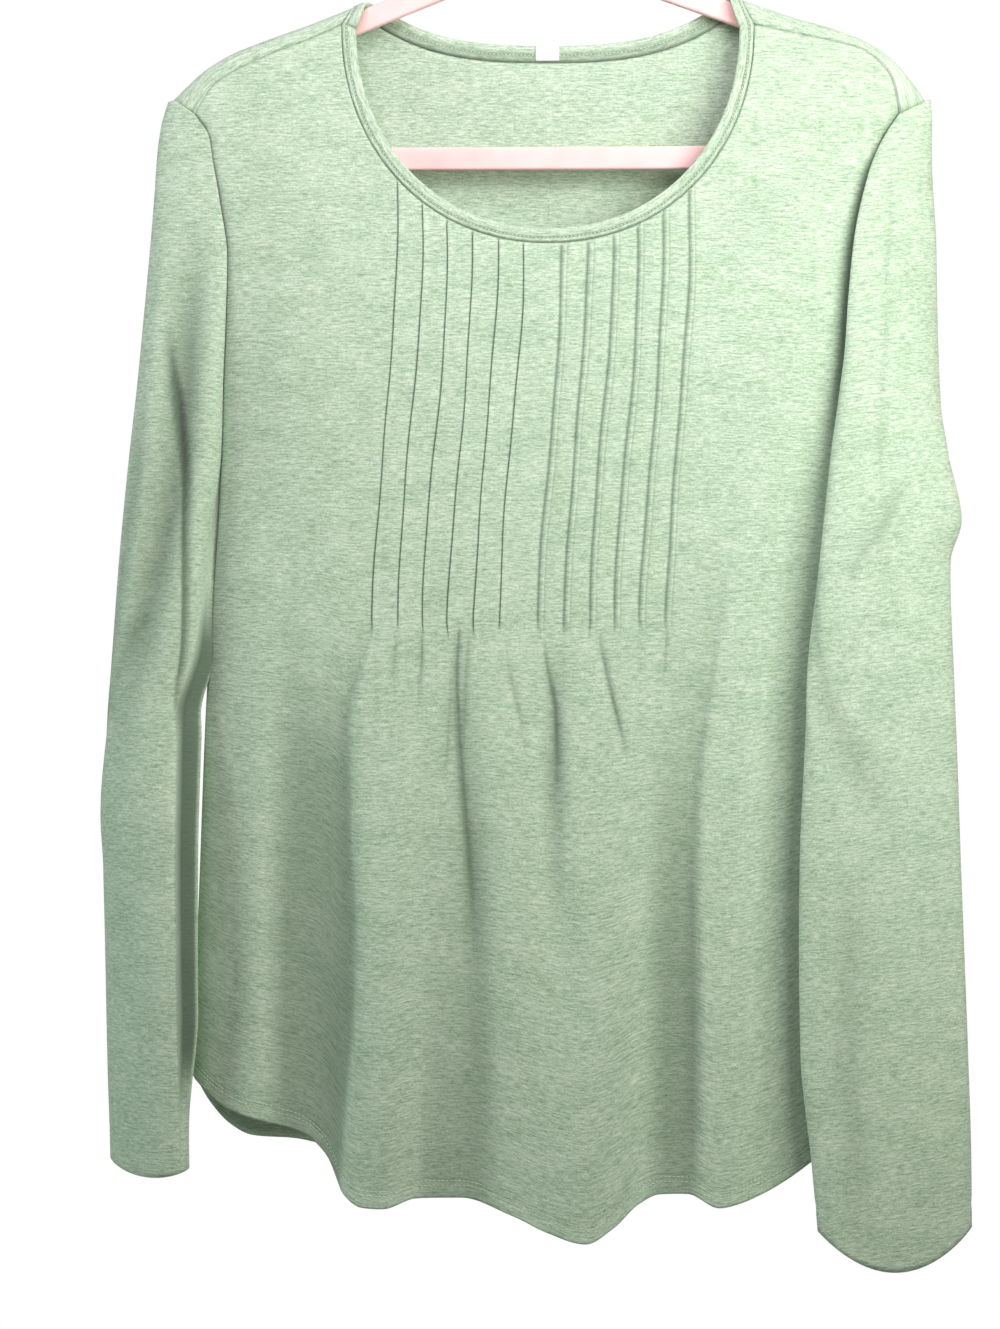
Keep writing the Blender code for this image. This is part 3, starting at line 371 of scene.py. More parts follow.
FRONT_FOLDS = (
    straight(FoldKind.SOFT, (-100, -520), (-103, -838), (12, 15), (0, 4)),
    straight(FoldKind.SOFT, (-66, -600), (-66, -835), (16, 17), (0, -4)),
    straight(FoldKind.SOFT, (20, -560), (22, -858), (26, 27), (0, 9)),
    straight(FoldKind.SOFT, (124, -465), (106, -838), (11, 14), (1, 5)),
    straight(FoldKind.SOFT, (-168, -420), (-176, -790), (12, 14), (1, 5)),
    fold(FoldKind.CLIFF, (
        (-104, -490, 3, 0), (-107, -502, 4, 2), (-112, -520, 7, 4.2), (-117.3, -547, 10, 6),
        (-116, -620, 13, 7.4), (-113.1, -670, 14, 8.4), (-114.3, -726, 15, 9.4), (-118.5, -768, 16, 9.6),
        (-124.2, -838, 16, 8),
    )),
    fold(FoldKind.CLIFF, (
        (112, -440, 6, 0), (105.9, -488, 8, 2.4), (99.1, -536, 9, 4.2), (93.5, -580, 10, 5.6),
        (90.7, -640, 11, 6.6), (91.5, -726, 12, 7.2), (91.5, -785, 12, 7), (88.5, -838, 12, 5.4),
    )),
    fold(FoldKind.CREASE, (
        (-52, -488, 1.6, 0), (-53.1, -496, 2, -1.7), (-54.4, -522, 2.4, -2.3),
        (-53.6, -548, 3, -2.3), (-50.2, -594, 4, -2), (-46.4, -635, 5.5, -1.5),
        (-42.5, -690, 7, 0),
    )),
    fold(FoldKind.SOFT, (
        (-50, -500, 7, 0), (-47, -560, 8, -1.6), (-43, -640, 10, -3.6), (-42, -740, 12, -4.6),
        (-44, -835, 13, -4),
    )),
    fold(FoldKind.CREASE, (
        (-57.5, -508, 1.8, 0), (-58.5, -538, 2, -0.8), (-60.5, -570, 2.2, -0.7), (-62, -592, 2.2, 0),
    )),
    fold(FoldKind.CREASE, (
        (-46, -490, 1.8, 0), (-47.6, -505, 2, -1.1), (-49.5, -540, 2.4, -0.9), (-50, -568, 2.4, 0),
    )),
    fold(FoldKind.SOFT, (
        (9, -496, 6, 0), (5.6, -530, 7, -2.2), (4.2, -604, 8, -3.8), (5.6, -640, 9, -3.6),
        (8.4, -690, 11, -2.4), (10, -790, 12, 0),
    )),
    fold(FoldKind.CREASE, (
        (-1.8, -498, 1.8, 0), (0, -512, 2.1, -1.5), (5.2, -541, 2.6, -1.9), (6, -568, 3.2, -1.4),
        (5, -600, 5, 0),
    )),
    fold(FoldKind.CREASE, (
        (31, -492, 1.8, 0), (34.5, -510, 2.1, -1.5), (40, -535, 2.3, -1.9), (46.5, -561, 2.4, -0.9),
        (48.5, -574, 2.4, 0),
    )),
    fold(FoldKind.CREASE, (
        (-25.5, -492, 1.6, 0), (-22.8, -514, 1.9, -0.9), (-18.9, -532, 2.1, -1.1),
        (-13.4, -558, 2.3, -0.6), (-12, -570, 2.3, 0),
    )),
    fold(FoldKind.CREASE, (
        (-75.5, -490, 1.6, 0), (-75.3, -505, 1.9, -1.3), (-77, -530, 2.1, -0.9), (-78, -550, 2.2, 0),
    )),
    fold(FoldKind.CREASE, (
        (-91, -490, 1.6, 0), (-91.5, -505, 1.9, -0.9), (-93.5, -532, 2.2, 0),
    )),
    fold(FoldKind.CREASE, (
        (73, -490, 1.8, 0), (72, -505, 2.2, -1), (70, -528, 2.8, 0),
    )),
    fold(FoldKind.SOFT, (
        (-163, -190, 9, 0), (-172, -300, 10, -0.8), (-166, -480, 16, -1.4), (-150, -600, 24, -4),
        (-148, -700, 26, -5.6), (-148, -800, 26, -4),
    )),
    fold(FoldKind.SOFT, (
        (56, -520, 12, 0), (50, -600, 16, 1.8), (44, -700, 18, 3), (48, -845, 18, 1.4),
    )),
    fold(FoldKind.SOFT, (
        (70, -560, 12, 0), (72, -640, 13, -1.8), (72, -740, 13, -3.2), (70, -835, 13, -2.4),
    )),
    fold(FoldKind.SOFT, (
        (-22, -520, 10, 0), (-22, -600, 13, 2.6), (-20, -700, 16, 2.6), (-16, -800, 16, 0.5),
    )),
    fold(FoldKind.SOFT, (
        (-86, -520, 10, 0), (-88, -600, 12, 2.4), (-90, -740, 14, 2.4), (-90, -838, 14, 1),
    )),
    fold(FoldKind.SOFT, (
        (128, -160, 10, 0), (136, -230, 12, 0.8), (142, -330, 14, 1), (138, -460, 14, 0),
    )),
    fold(FoldKind.SOFT, (
        (-128, -170, 9, 0), (-134, -260, 11, 0.7), (-132, -400, 14, 0.8), (-128, -520, 14, 0),
    )),
)

BACK_FOLDS = (
    straight(FoldKind.SOFT, (-150, -420), (-158, -810), (17, 18), (1, 6)),
    straight(FoldKind.SOFT, (-96, -330), (-104, -825), (13, 18), (-1, -5)),
    straight(FoldKind.SOFT, (-48, -380), (-52, -835), (18, 20), (1, 7)),
    straight(FoldKind.SOFT, (4, -300), (0, -840), (13, 18), (-1, -5)),
    straight(FoldKind.SOFT, (52, -400), (58, -835), (18, 20), (1, 7)),
    straight(FoldKind.SOFT, (104, -340), (112, -824), (13, 17), (-1, -5)),
    straight(FoldKind.SOFT, (152, -430), (164, -808), (17, 18), (1, 6)),
    fold(FoldKind.CREASE, (
        (-76, -600, 4, 0), (-79, -680, 5, -1.6), (-80, -832, 7, -2.2),
    )),
    fold(FoldKind.CREASE, (
        (31, -560, 4, 0), (33, -660, 5, -1.5), (30, -838, 8, -1.8),
    )),
    fold(FoldKind.CREASE, (
        (135, -520, 4, 0), (138, -640, 5, -1.2), (140, -816, 7, -1.8),
    )),
    fold(FoldKind.SOFT, (
        (-170, -200, 9, 0), (-120, -250, 12, 0.8), (-90, -330, 14, 0),
    )),
    fold(FoldKind.SOFT, (
        (176, -200, 9, 0), (128, -255, 12, 0.8), (92, -340, 14, 0),
    )),
)
FOLDS = {Panel.FRONT: FRONT_FOLDS, Panel.BACK: BACK_FOLDS}


@dataclass(frozen=True)
class NeckSizes:
    """Neck opening at the seam between body and band, and where the shoulders end on it."""

    mid_x: float = 1.4
    half_width: float = 126.5
    top_z: float = -121.0
    drop: float = 135.5
    power: float = 2.1
    seam_front_y: float = -8.0
    shoulder_slope: float = 0.4
    back_half_width: float = 109.0
    back_z: float = -139.0
    back_rise: float = 25.0
    back_power: float = 3.0
    back_y_side: float = 8.0
    back_y_mid: float = 12.5
    end_reach: float = 0.3
    side_shares: tuple[float, ...] = (0.997, 0.987, 0.966, 0.93, 0.88, 0.82, 0.765)

    def front_z(self, x: Array) -> Array:
        """Find the height of the front neckline seam.

        Args:
            x: Places across the neck.

        Returns:
            Height at each place.
        """
        share = np.clip(np.abs(np.asarray(x) - self.mid_x) / self.half_width, 0.0, 1.0)
        return self.top_z - self.drop * (1.0 - share ** self.power) ** (1.0 / self.power)

    def back(self, x: Array) -> tuple[Array, Array]:
        """Find the back neckline seam.

        Args:
            x: Places across the neck.

        Returns:
            Height and depth at each place.
        """
        share = np.clip(np.abs(np.asarray(x) - self.mid_x) / self.back_half_width, 0.0, 1.0)
        z = self.back_z + self.back_rise * share ** self.back_power
        return z, self.back_y_mid + (self.back_y_side - self.back_y_mid) * share

    def back_end(self, side: Side) -> tuple[float, float]:
        """Give the place where a shoulder's strip meets the back neckline, as (x, z)."""
        return (-109.0, -114.0) if side is Side.LEFT else (111.5, -114.0)


@dataclass(frozen=True)
class TuckSizes:
    """Pintucks, sewn from the neckline down and pressed away from the middle."""

    each_side: int = 6
    first_x: float = 11.5
    pitch: float = 15.4
    width: float = 3.6
    height: float = 1.0
    end_z: float = -498.0
    end_play: float = 2.5
    fade: float = 13.0
    onset: float = 2.5
    play_phase: float = 0.9
    wobble: float = 0.45
    wobble_run: float = 31.0
    wobble_phase: float = 0.11
    fine_share: float = 0.6
    fine_run: float = 13.0
    fine_phase: float = 0.05
    half_section: float = 3.2
    section_run: float = 6.3
    # Across one tuck from its stitching to its pressed edge: place, height and painted shade of the fold.
    # The left ones are pressed hard to the cloth, the right ones stand up a little and open a crease
    pressed: tuple[Triple, ...] = (
        (-3.2, 0.0, 0.0), (-2.5, -0.02, 0.0), (-1.9, -0.04, 0.03), (-1.3, 0.08, 0.0), (-0.5, 0.30, 0.0),
        (0.4, 0.50, 0.0), (1.2, 0.60, 0.0), (1.75, 0.50, 0.0), (1.72, 0.15, 0.9), (1.70, -0.35, 1.0),
        (2.25, -0.22, 0.75), (3.1, 0.0, 0.0),
    )
    raised: tuple[Triple, ...] = (
        (-3.2, 0.0, 0.0), (-2.6, -0.14, 0.25), (-2.0, -0.40, 0.62), (-1.4, -0.44, 0.68), (-0.8, 0.02, 0.25),
        (-0.1, 0.70, 0.0), (0.7, 1.10, 0.0), (1.35, 1.02, 0.0), (1.75, 0.50, 0.10), (2.0, 0.02, 0.40),
        (2.4, -0.12, 0.25), (3.1, 0.0, 0.0),
    )

    def section(self, middle: float) -> tuple[Triple, ...]:
        """Give the section of the tuck whose middle lies at a place."""
        return self.pressed if middle < 0 else self.raised

    def middles(self) -> list[float]:
        """List the middle of each tuck at the neck, from left to right."""
        right = [self.first_x + self.pitch * k for k in range(self.each_side)]
        return [-x for x in reversed(right)] + right

    def sewn(self, top_x: Array, top_z: Array, z: Array) -> Array:
        """Find how far the tucks are folded at a level.

        Args:
            top_x: Places of the columns' upper ends.
            top_z: Heights of the upper ends.
            z: Level of each column.

        Returns:
            0 for flat cloth to 1 for a full tuck.
        """
        end_z = self.end_z + self.end_play * np.sin(top_x * self.play_phase)
        return ease((top_z - z) / self.onset) * ease((z - end_z) / self.fade)

    def wave(self, top_x: Array, z: Array) -> Array:
        """Find how far a tuck wanders sideways from a straight line.

        Args:
            top_x: Places of the columns' upper ends.
            z: Level of each column.

        Returns:
            Sideways move.
        """
        fine = self.fine_share * np.sin(z / self.fine_run + top_x * self.fine_phase)
        return self.wobble * (np.sin(z / self.wobble_run + top_x * self.wobble_phase) + fine)


class ArmholeSizes(NamedTuple):
    """What differs between the armholes: the seam's shift, the opening and the sleeve's groove."""

    seam_shift_y: float
    opening_power: float
    opening_front: float
    groove_angle: float


ARMHOLE = {Side.LEFT: ArmholeSizes(0.0, 1.0, 0.5, -1.7), Side.RIGHT: ArmholeSizes(0.9, 2.0, 0.1, -1.9)}


@dataclass(frozen=True)
class HangingForm:
    """Where the cloth hangs: the surfaces that the body, sleeves and band all follow."""

    neck: NeckSizes
    tucks: TuckSizes
    underarm_share: float = 0.352
    hem_side_z: float = -764.5
    wall_room: float = -0.5
    side_room_top: float = 1.4
    side_room_low: float = 1.0
    closing_run: float = 45.0
    steepening_run: float = 320.0
    centring_run: float = 160.0
    edge_fade: float = 0.06
    lap_end_z: float = -640.0
    lap_run: float = 200.0
    groove_spread: float = 0.42
    steady_half_width: float = 92.0
    shoulder_half_width: float = 160.0
    spread_drop: float = 130.0
    lean_top_z: float = -257.0
    lean: float = -15.0
    shoulder_settle: float = 16.0
    # Painted shade in the front's creases and folds: the depth that gives full shade, and the most shade of
    # each kind
    crease_full_depth: float = 2.6
    crease_most: float = 0.6
    fold_full_depth: float = 10.5
    fold_most: float = 0.52

    def sleeve_point(self, side: Side, z: Array, angle: Array) -> tuple[Array, Array]:
        """Find a sleeve's outer surface.

        Args:
            side: Which sleeve.
            z: Level on the sleeve.
            angle: Way round the section, from -pi at its front end over 0 at the outer fold to pi.

        Returns:
            The x and y of each point.
        """
        table = SLEEVE[side]
        row = {name: column(table, "z", name, z) for name in SleeveRow._fields[1:]}
        mid_x = (row["inner_x"] + row["outer_x"]) / 2
        half = np.abs(row["outer_x"] - row["inner_x"]) / 2
        half_depth = row["depth"] / 2
        turn = np.radians(row["turn"]) * side.value
        across = np.sqrt(np.maximum(half ** 2 - (half_depth * np.sin(turn)) ** 2, 1.0)) / np.cos(turn)
        reach = np.clip((row["seam_x"] - mid_x) / half * side.value, -1.0, 1.0)
        lap = np.pi - np.arccos(reach) if side is Side.RIGHT else np.zeros_like(reach)
        phi = angle - lap * ease((np.asarray(z) - self.lap_end_z) / self.lap_run)
        flat_x = side.value * across * np.cos(phi)
        flat_y = half_depth * np.sin(phi)
        x = mid_x + flat_x * np.cos(turn) - flat_y * np.sin(turn)
        y = row["mid_y"] + flat_x * np.sin(turn) + flat_y * np.cos(turn)
        armhole = ARMHOLE[side]
        share = ((1.0 + np.sin(angle / 2.0)) / 2.0) ** armhole.opening_power - armhole.opening_front
        y = y + row["seam_gap"] * share
        near = np.exp(-((angle - armhole.groove_angle) / self.groove_spread) ** 2)
        return x, y + row["groove"] * near

    def side_row_z(self, side: Side, share: Array) -> Array:
        """Find the height on a panel's side edge.

        Args:
            side: Which side.
            share: Share of the way from shoulder tip to hem.

        Returns:
            The height.
        """
        tip = SHOULDER[side][-1].seam_z
        return tip + (self.hem_side_z - tip) * share

    def side_edge(self, side: Side, z: Array, panel: Panel) -> tuple[Array, Array]:
        """Find a body panel's edge: armhole above the underarm, side seam below.

        Args:
            side: Which side.
            z: Heights.
            panel: Which panel.

        Returns:
            The x and y of the edge.
        """
        z = np.asarray(z, float)
        underarm = self.side_row_z(side, self.underarm_share)
        end = np.pi if panel is Panel.BACK else -np.pi
        cap_x, cap_y = self.sleeve_point(side, np.maximum(z, underarm), end)
        name = f"{side.name.lower()}_x"
        low_x = column(SIDE_SEAM, "z", name, z) - column(SIDE_SEAM, "z", name, underarm)
        below = z < underarm
        x = cap_x + np.where(below, low_x, -side.value * self.wall_room)
        closing = ease((underarm + self.closing_run - z) / self.closing_run)
        steep = ease((underarm - z) / self.steepening_run)
        apart = (self.side_room_top * (1.0 - steep) + self.side_room_low * steep) * closing
        y = cap_y * np.where(below, 1.0 - ease((underarm - z) / self.centring_run), 1.0)
        y = y + ARMHOLE[side].seam_shift_y * (1.0 + closing) * (1.0 - steep)
        return x, y + apart * panel.value

    def shoulder_point(
        self, side: Side, share: Array, wrap: Array
    ) -> tuple[Array, Array, Array]:
        """Find a point of the strip of cloth that passes over a shoulder.

        Args:
            side: Which shoulder.
            share: Share of the way from neck to tip.
            wrap: Way over the shoulder: 0 at the front seam, 0.5 on the ridge, 1 at the back.

        Returns:
            The x, y and z of each point.
        """
        row = {name: column(SHOULDER[side], "share", name, share) for name in ShoulderRow._fields[1:]}
        over = np.sin(np.pi * wrap)
        back_x, back_z = self.neck.back_end(side)
        first = SHOULDER[side][0]
        near_neck = (1.0 - ease(share / self.neck.end_reach)) * ease(wrap)
        seam_x = row["seam_x"] + (back_x - first.seam_x) * near_neck
        seam_z = row["seam_z"] + (back_z - first.seam_z) * near_neck
        tip_z = self.side_row_z(side, 0.0)
        tip_front = self.sleeve_point(side, tip_z, -np.pi)[1]
        tip_back = self.sleeve_point(side, tip_z, np.pi)[1]
        front_y = self.neck.seam_front_y + (tip_front - self.neck.seam_front_y) * ease(share)
        back_y = self.neck.back_y_side + (tip_back - self.neck.back_y_side) * ease(share)
        turned = np.cos(np.pi * wrap)
        y = front_y * (1.0 + turned) / 2 + back_y * (1.0 - turned) / 2
        x = seam_x + (row["ridge_x"] - seam_x) * over
        return x, y, seam_z + (row["ridge_z"] - seam_z) * over

    def panel_y(self, panel: Panel, x: Array, z: Array) -> Array:
        """Find how deep a body panel's outer surface lies, with its folds and without its tucks.

        Args:
            panel: Which panel.
            x: Places across the panel.
            z: Heights on the panel.

        Returns:
            The y of each place.
        """
        left_tip = self.side_row_z(Side.LEFT, 0.0)
        right_tip = self.side_row_z(Side.RIGHT, 0.0)
        left_x, left_y = self.side_edge(Side.LEFT, np.minimum(z, left_tip), panel)
        right_x, right_y = self.side_edge(Side.RIGHT, np.minimum(z, right_tip), panel)
        across = np.clip((x - left_x) / (right_x - left_x), 0.0, 1.0)
        edge_y = left_y + (right_y - left_y) * ease(across)
        middle_y = panel.value * column(BODY_DEPTH, "z", panel.name.lower(), z)
        power = column(BODY_DEPTH, "z", "edge_power", z)
        root = column(BODY_DEPTH, "z", "edge_root", z)
        level = (1.0 - np.abs(2.0 * across - 1.0) ** power) ** root
        near_edge = ease(np.minimum(across, 1.0 - across) / self.edge_fade)
        folds = np.zeros(np.broadcast(x, z).shape)
        for each in FOLDS[panel]:
            folds = folds + each.rise(x, z)
        return edge_y + (middle_y - edge_y) * level + panel.value * folds * near_edge

    def panel_shade(self, panel: Panel, x: Array, z: Array) -> Array:
        """Find how deep each place of a panel lies in its folds, for the painted shade there.

        Args:
            panel: Which panel.
            x: Places across the panel.
            z: Heights on the panel.

        Returns:
            Painted shade from 0 to 1.
        """
        sharp = np.zeros(np.broadcast(x, z).shape)
        broad = np.zeros_like(sharp)
        for each in FOLDS[panel]:
            if each.kind is FoldKind.CREASE:
                sharp = sharp - each.rise(x, z) / self.crease_full_depth
            else:
                broad = broad - each.rise(x, z) / self.fold_full_depth
        return np.clip(sharp, 0.0, self.crease_most) + np.clip(broad, 0.0, self.fold_most)

    def neck_spread(self, top_x: Array) -> Array:
        """Find how far a column that starts on the steep side of the neckline moves to even out.

        Args:
            top_x: Places of the columns' upper ends.

        Returns:
            Sideways move of each column.
        """
        shares = self.neck.side_shares
        reach = np.abs(top_x - self.neck.mid_x) / self.neck.half_width
        evens = [1.0 - (1.0 - shares[-1]) * (k + 1) / len(shares) for k in range(len(shares))]
        knots = (1.0,) + shares
        even = np.interp(reach, knots[::-1], ([1.0] + evens)[::-1])
        held = np.where((reach > 1.0) | (reach < shares[-1]), reach, even)
        return (held - reach) * self.neck.half_width * np.sign(top_x - self.neck.mid_x)

    def column_x(
        self, top_x: Array, top_z: Array, z: Array, share: float, panel: Panel
    ) -> Array:
        """Find where columns of a panel have got to at a level.

        Args:
            top_x: Places of the columns' upper ends.
            top_z: Heights of the upper ends.
            z: Level of each column.
            share: Share of the row between the panel's top and hem.
            panel: Which panel.

        Returns:
            The x of each column.
        """
        moved = np.zeros_like(top_x)
        for side in Side:
            tip_z = self.side_row_z(side, 0.0)
            tip_x = float(self.side_edge(side, tip_z, panel)[0])
            steady, shoulder = self.steady_half_width, self.shoulder_half_width
            edge = ease((np.abs(top_x) - steady) / (abs(tip_x) - steady))
            near_tip = ease((np.abs(top_x) - shoulder) / (abs(tip_x) - shoulder))
            level_x = self.side_edge(side, np.minimum(z, tip_z), panel)[0]
            row_x = self.side_edge(side, self.side_row_z(side, share), panel)[0]
            edge_x = level_x + (row_x - level_x) * near_tip
            start_x = self.side_edge(side, np.minimum(top_z, tip_z), panel)[0]
            start_x = start_x + (tip_x - start_x) * near_tip
            fall = ease((self.lean_top_z - z) / (self.lean_top_z - self.tucks.end_z))
            drift = self.lean * fall * (1.0 - edge) if panel is Panel.FRONT else 0.0
            here = (edge_x - start_x) * edge + drift
            moved = np.where(top_x * side.value >= 0.0, here, moved)
        if panel is Panel.FRONT:
            moved = moved + self.neck_spread(top_x) * ease((top_z - z) / self.spread_drop)
        return top_x + moved


def put(name: str, data: bpy.types.ID) -> Object:
    """Put a new object into the scene.

    Args:
        name: Its name.
        data: Its mesh, curve, light or camera.

    Returns:
        The object.
    """
    made = bpy.data.objects.new(name, data)
    bpy.context.scene.collection.objects.link(made)
    return made


class Cloth:
    """A sheet of cloth built from rows of points, with grain and painted crease shade kept on it."""

    def __init__(self, name: str) -> None:
        """Start an empty sheet with a piece name."""
        self.name = name
        self.points: list[Triple] = []
        self.grain: list[Triple] = []
        self.dark: list[float] = []
        self.faces: list[tuple[int, ...]] = []

    def add_grid(self, grid: Array, grain: Array, dark: Array) -> Array:
        """Add a grid of points without faces.

        Args:
            grid: Points as (row, place, xyz).
            grain: Place on the flat cloth as (row, place, across and along).
            dark: Painted shade of each point in creases and hollows, 0 to 1 and up to 2 for a nearly black
                painted shadow, as (row, place).

        Returns:
            The number of each point, as (row, place).
        """
        first = len(self.points)
        count, places = grid.shape[:2]
        self.points += [tuple(point) for point in grid.reshape(-1, 3)]
        self.grain += [(float(u), float(v), 0.0) for u, v in grain.reshape(-1, 2)]
        self.dark += [float(value) for value in dark.reshape(-1)]
        return first + np.arange(count * places).reshape(count, places)

    def skin(self, numbers: Array) -> None:
        """Lay faces over a grid of point numbers.

        Args:
            numbers: Point numbers as (row, place).
        """
        quads = np.stack([numbers[:-1, :-1], numbers[1:, :-1], numbers[1:, 1:], numbers[:-1, 1:]], axis=-1)
        self.faces += [tuple(int(n) for n in quad) for quad in quads.reshape(-1, 4)]

    def tube(self, rings: Array) -> None:
        """Add a closed tube.

        Args:
            rings: Points as (ring, place, xyz).
        """
        numbers = self.add_grid(rings, np.zeros(rings.shape[:2] + (2,)), np.zeros(rings.shape[:2]))
        self.skin(np.concatenate([numbers, numbers[:, :1]], axis=1))
        self.faces += [tuple(int(n) for n in numbers[0]), tuple(int(n) for n in numbers[-1][::-1])]

    def make(self, wall: float = 0.0, outward: Triple | None = None) -> Object:
        """Make the sheet's object with its wall on the inner side.

        Args:
            wall: Thickness of an open sheet, or 0 for a closed form.
            outward: Way that an open sheet mostly looks, or None for a tube.

        Returns:
            The object.
        """
        mesh = bpy.data.meshes.new(self.name)
        mesh.from_pydata([tuple(c * MM for c in point) for point in self.points], [], self.faces)
        grain = mesh.attributes.new("grain", "FLOAT_VECTOR", "POINT")
        grain.data.foreach_set("vector", np.asarray(self.grain, np.float32).ravel())
        # The crease attribute carries the painted shade for the material
        dark = mesh.attributes.new("crease", "FLOAT", "POINT")
        dark.data.foreach_set("value", np.asarray(self.dark, np.float32))
        work = bmesh.new()
        work.from_mesh(mesh)
        bmesh.ops.recalc_face_normals(work, faces=work.faces)
        if wall > 0.0 and self._outward_area(work, outward) < 0.0:
            bmesh.ops.reverse_faces(work, faces=work.faces)
        work.to_mesh(mesh)
        work.free()
        mesh.polygons.foreach_set("use_smooth", [True] * len(mesh.polygons))
        made = put(self.name, mesh)
        if wall > 0.0:
            solid = made.modifiers.new("wall", "SOLIDIFY")
            solid.thickness = wall * MM
            solid.offset = -1.0
        return made

    def _outward_area(self, work: bmesh.types.BMesh, outward: Triple | None) -> float:
        """Measure how much of the cloth's faces look outwards.

        Args:
            work: The mesh.
            outward: Way that the sheet mostly looks, or None for a tube, which looks away from
                its middle.

        Returns:
            Area that looks outwards less the area that looks inwards.
        """
        middle = np.mean(self.points, axis=0) * MM
        total = 0.0
        for face in work.faces:
            way = np.array(face.calc_center_median()) - middle if outward is None else np.array(outward)
            total += face.calc_area() * float(np.dot(np.array(face.normal), way))
        return total


class Signal:
    """A number that flows between shader nodes and can be used in ordinary arithmetic."""

    def __init__(self, tree: NodeTree, socket: NodeSocket) -> None:
        """Wrap an output socket of a node tree."""
        self.tree = tree
        self.socket = socket

    def _math(self, operation: str, first: "Signal | float", second: "Signal | float") -> "Signal":
        """Join two numbers in a math node.

        Args:
            operation: Name of the operation.
            first: Number on the left.
            second: Number on the right.

        Returns:
            The result.
        """
        node = self.tree.nodes.new("ShaderNodeMath")
        node.operation = operation
        for place, value in enumerate((first, second)):
            if isinstance(value, Signal):
                self.tree.links.new(value.socket, node.inputs[place])
            else:
                node.inputs[place].default_value = float(value)
        return Signal(self.tree, node.outputs[0])

    def __add__(self, other: "Signal | float") -> "Signal":
        """Add."""
        return self._math("ADD", self, other)

    def __radd__(self, other: float) -> "Signal":
        """Add to a plain number."""
        return self._math("ADD", other, self)

    def __sub__(self, other: "Signal | float") -> "Signal":
        """Take away."""
        return self._math("SUBTRACT", self, other)

    def __rsub__(self, other: float) -> "Signal":
        """Take away from a plain number."""
        return self._math("SUBTRACT", other, self)

    def __mul__(self, other: "Signal | float") -> "Signal":
        """Multiply."""
        return self._math("MULTIPLY", self, other)

    def __rmul__(self, other: float) -> "Signal":
        """Multiply a plain number."""
        return self._math("MULTIPLY", other, self)


class Bench:
    """A material with its shader, and short ways to put nodes in front of it."""

    def __init__(self, name: str) -> None:
        """Make the material."""
        self.material = bpy.data.materials.new(name)
        self.material.use_nodes = True
        self.tree = self.material.node_tree
        self.shader = self.tree.nodes["Principled BSDF"]

    def node(
        self, kind: str, settings: dict[str, object] | None = None,
        inputs: dict[str | int, object] | None = None,
    ) -> bpy.types.Node:
        """Add any node.

        Args:
            kind: Type name of the node.
            settings: Properties to set on it.
            inputs: Values, sockets or signals for its inputs, by name or number.

        Returns:
            The node.
        """
        made = self.tree.nodes.new(kind)
        for name, value in (settings or {}).items():
            setattr(made, name, value)
        for name, value in (inputs or {}).items():
            self.feed(made.inputs[name], value)
        return made

    def feed(self, socket: NodeSocket, value: object) -> None:
        """Give an input socket a plain value, another socket or a signal.

        Args:
            socket: The input.
            value: What it gets.
        """
        if isinstance(value, Signal):
            self.tree.links.new(value.socket, socket)
        elif isinstance(value, NodeSocket):
            self.tree.links.new(value, socket)
        else:
            socket.default_value = value

    def set(self, **values: object) -> None:
        """Set plain values on the shader, with underscores in place of spaces in the names."""
        for name, value in values.items():
            self.shader.inputs[name.replace("_", " ")].default_value = value

    def noise(self, place: NodeSocket, sizes: Triple, detail: float) -> Signal:
        """Make noise with its own size along each axis.

        Args:
            place: Vector socket.
            sizes: Size of the pattern along each axis, in the place's own units.
            detail: How many finer layers it has.

        Returns:
            Noise around 0.5.
        """
        vector = self.node("ShaderNodeVectorMath", {"operation": "DIVIDE"}, {0: place, 1: sizes}).outputs[0]
        node = self.node("ShaderNodeTexNoise", {}, {"Vector": vector, "Scale": 1.0, "Detail": detail})
        return Signal(self.tree, node.outputs["Fac"])

    def speckle(self, sizes: Triple, detail: float) -> Signal:
        """Make noise in space, with its sizes in millimetres."""
        place = self.node("ShaderNodeNewGeometry").outputs["Position"]
        return self.noise(place, tuple(size * MM for size in sizes), detail)

    def mixed(self, share: Signal, first: object, second: object) -> NodeSocket:
        """Mix two colours, with share 0 for the first and 1 for the second."""
        settings = {"data_type": "RGBA", "clamp_factor": True}
        return self.node("ShaderNodeMix", settings, {0: share, 6: first, 7: second}).outputs[2]

    def bump(self, height: Signal, distance: float, strength: float) -> None:
        """Let a height raise the surface.

        Args:
            height: The height.
            distance: How far 1 stands out, in metres.
            strength: Share of the effect.
        """
        node = self.node("ShaderNodeBump", {}, {"Height": height, "Distance": distance, "Strength": strength})
        self.feed(self.shader.inputs["Normal"], node.outputs["Normal"])


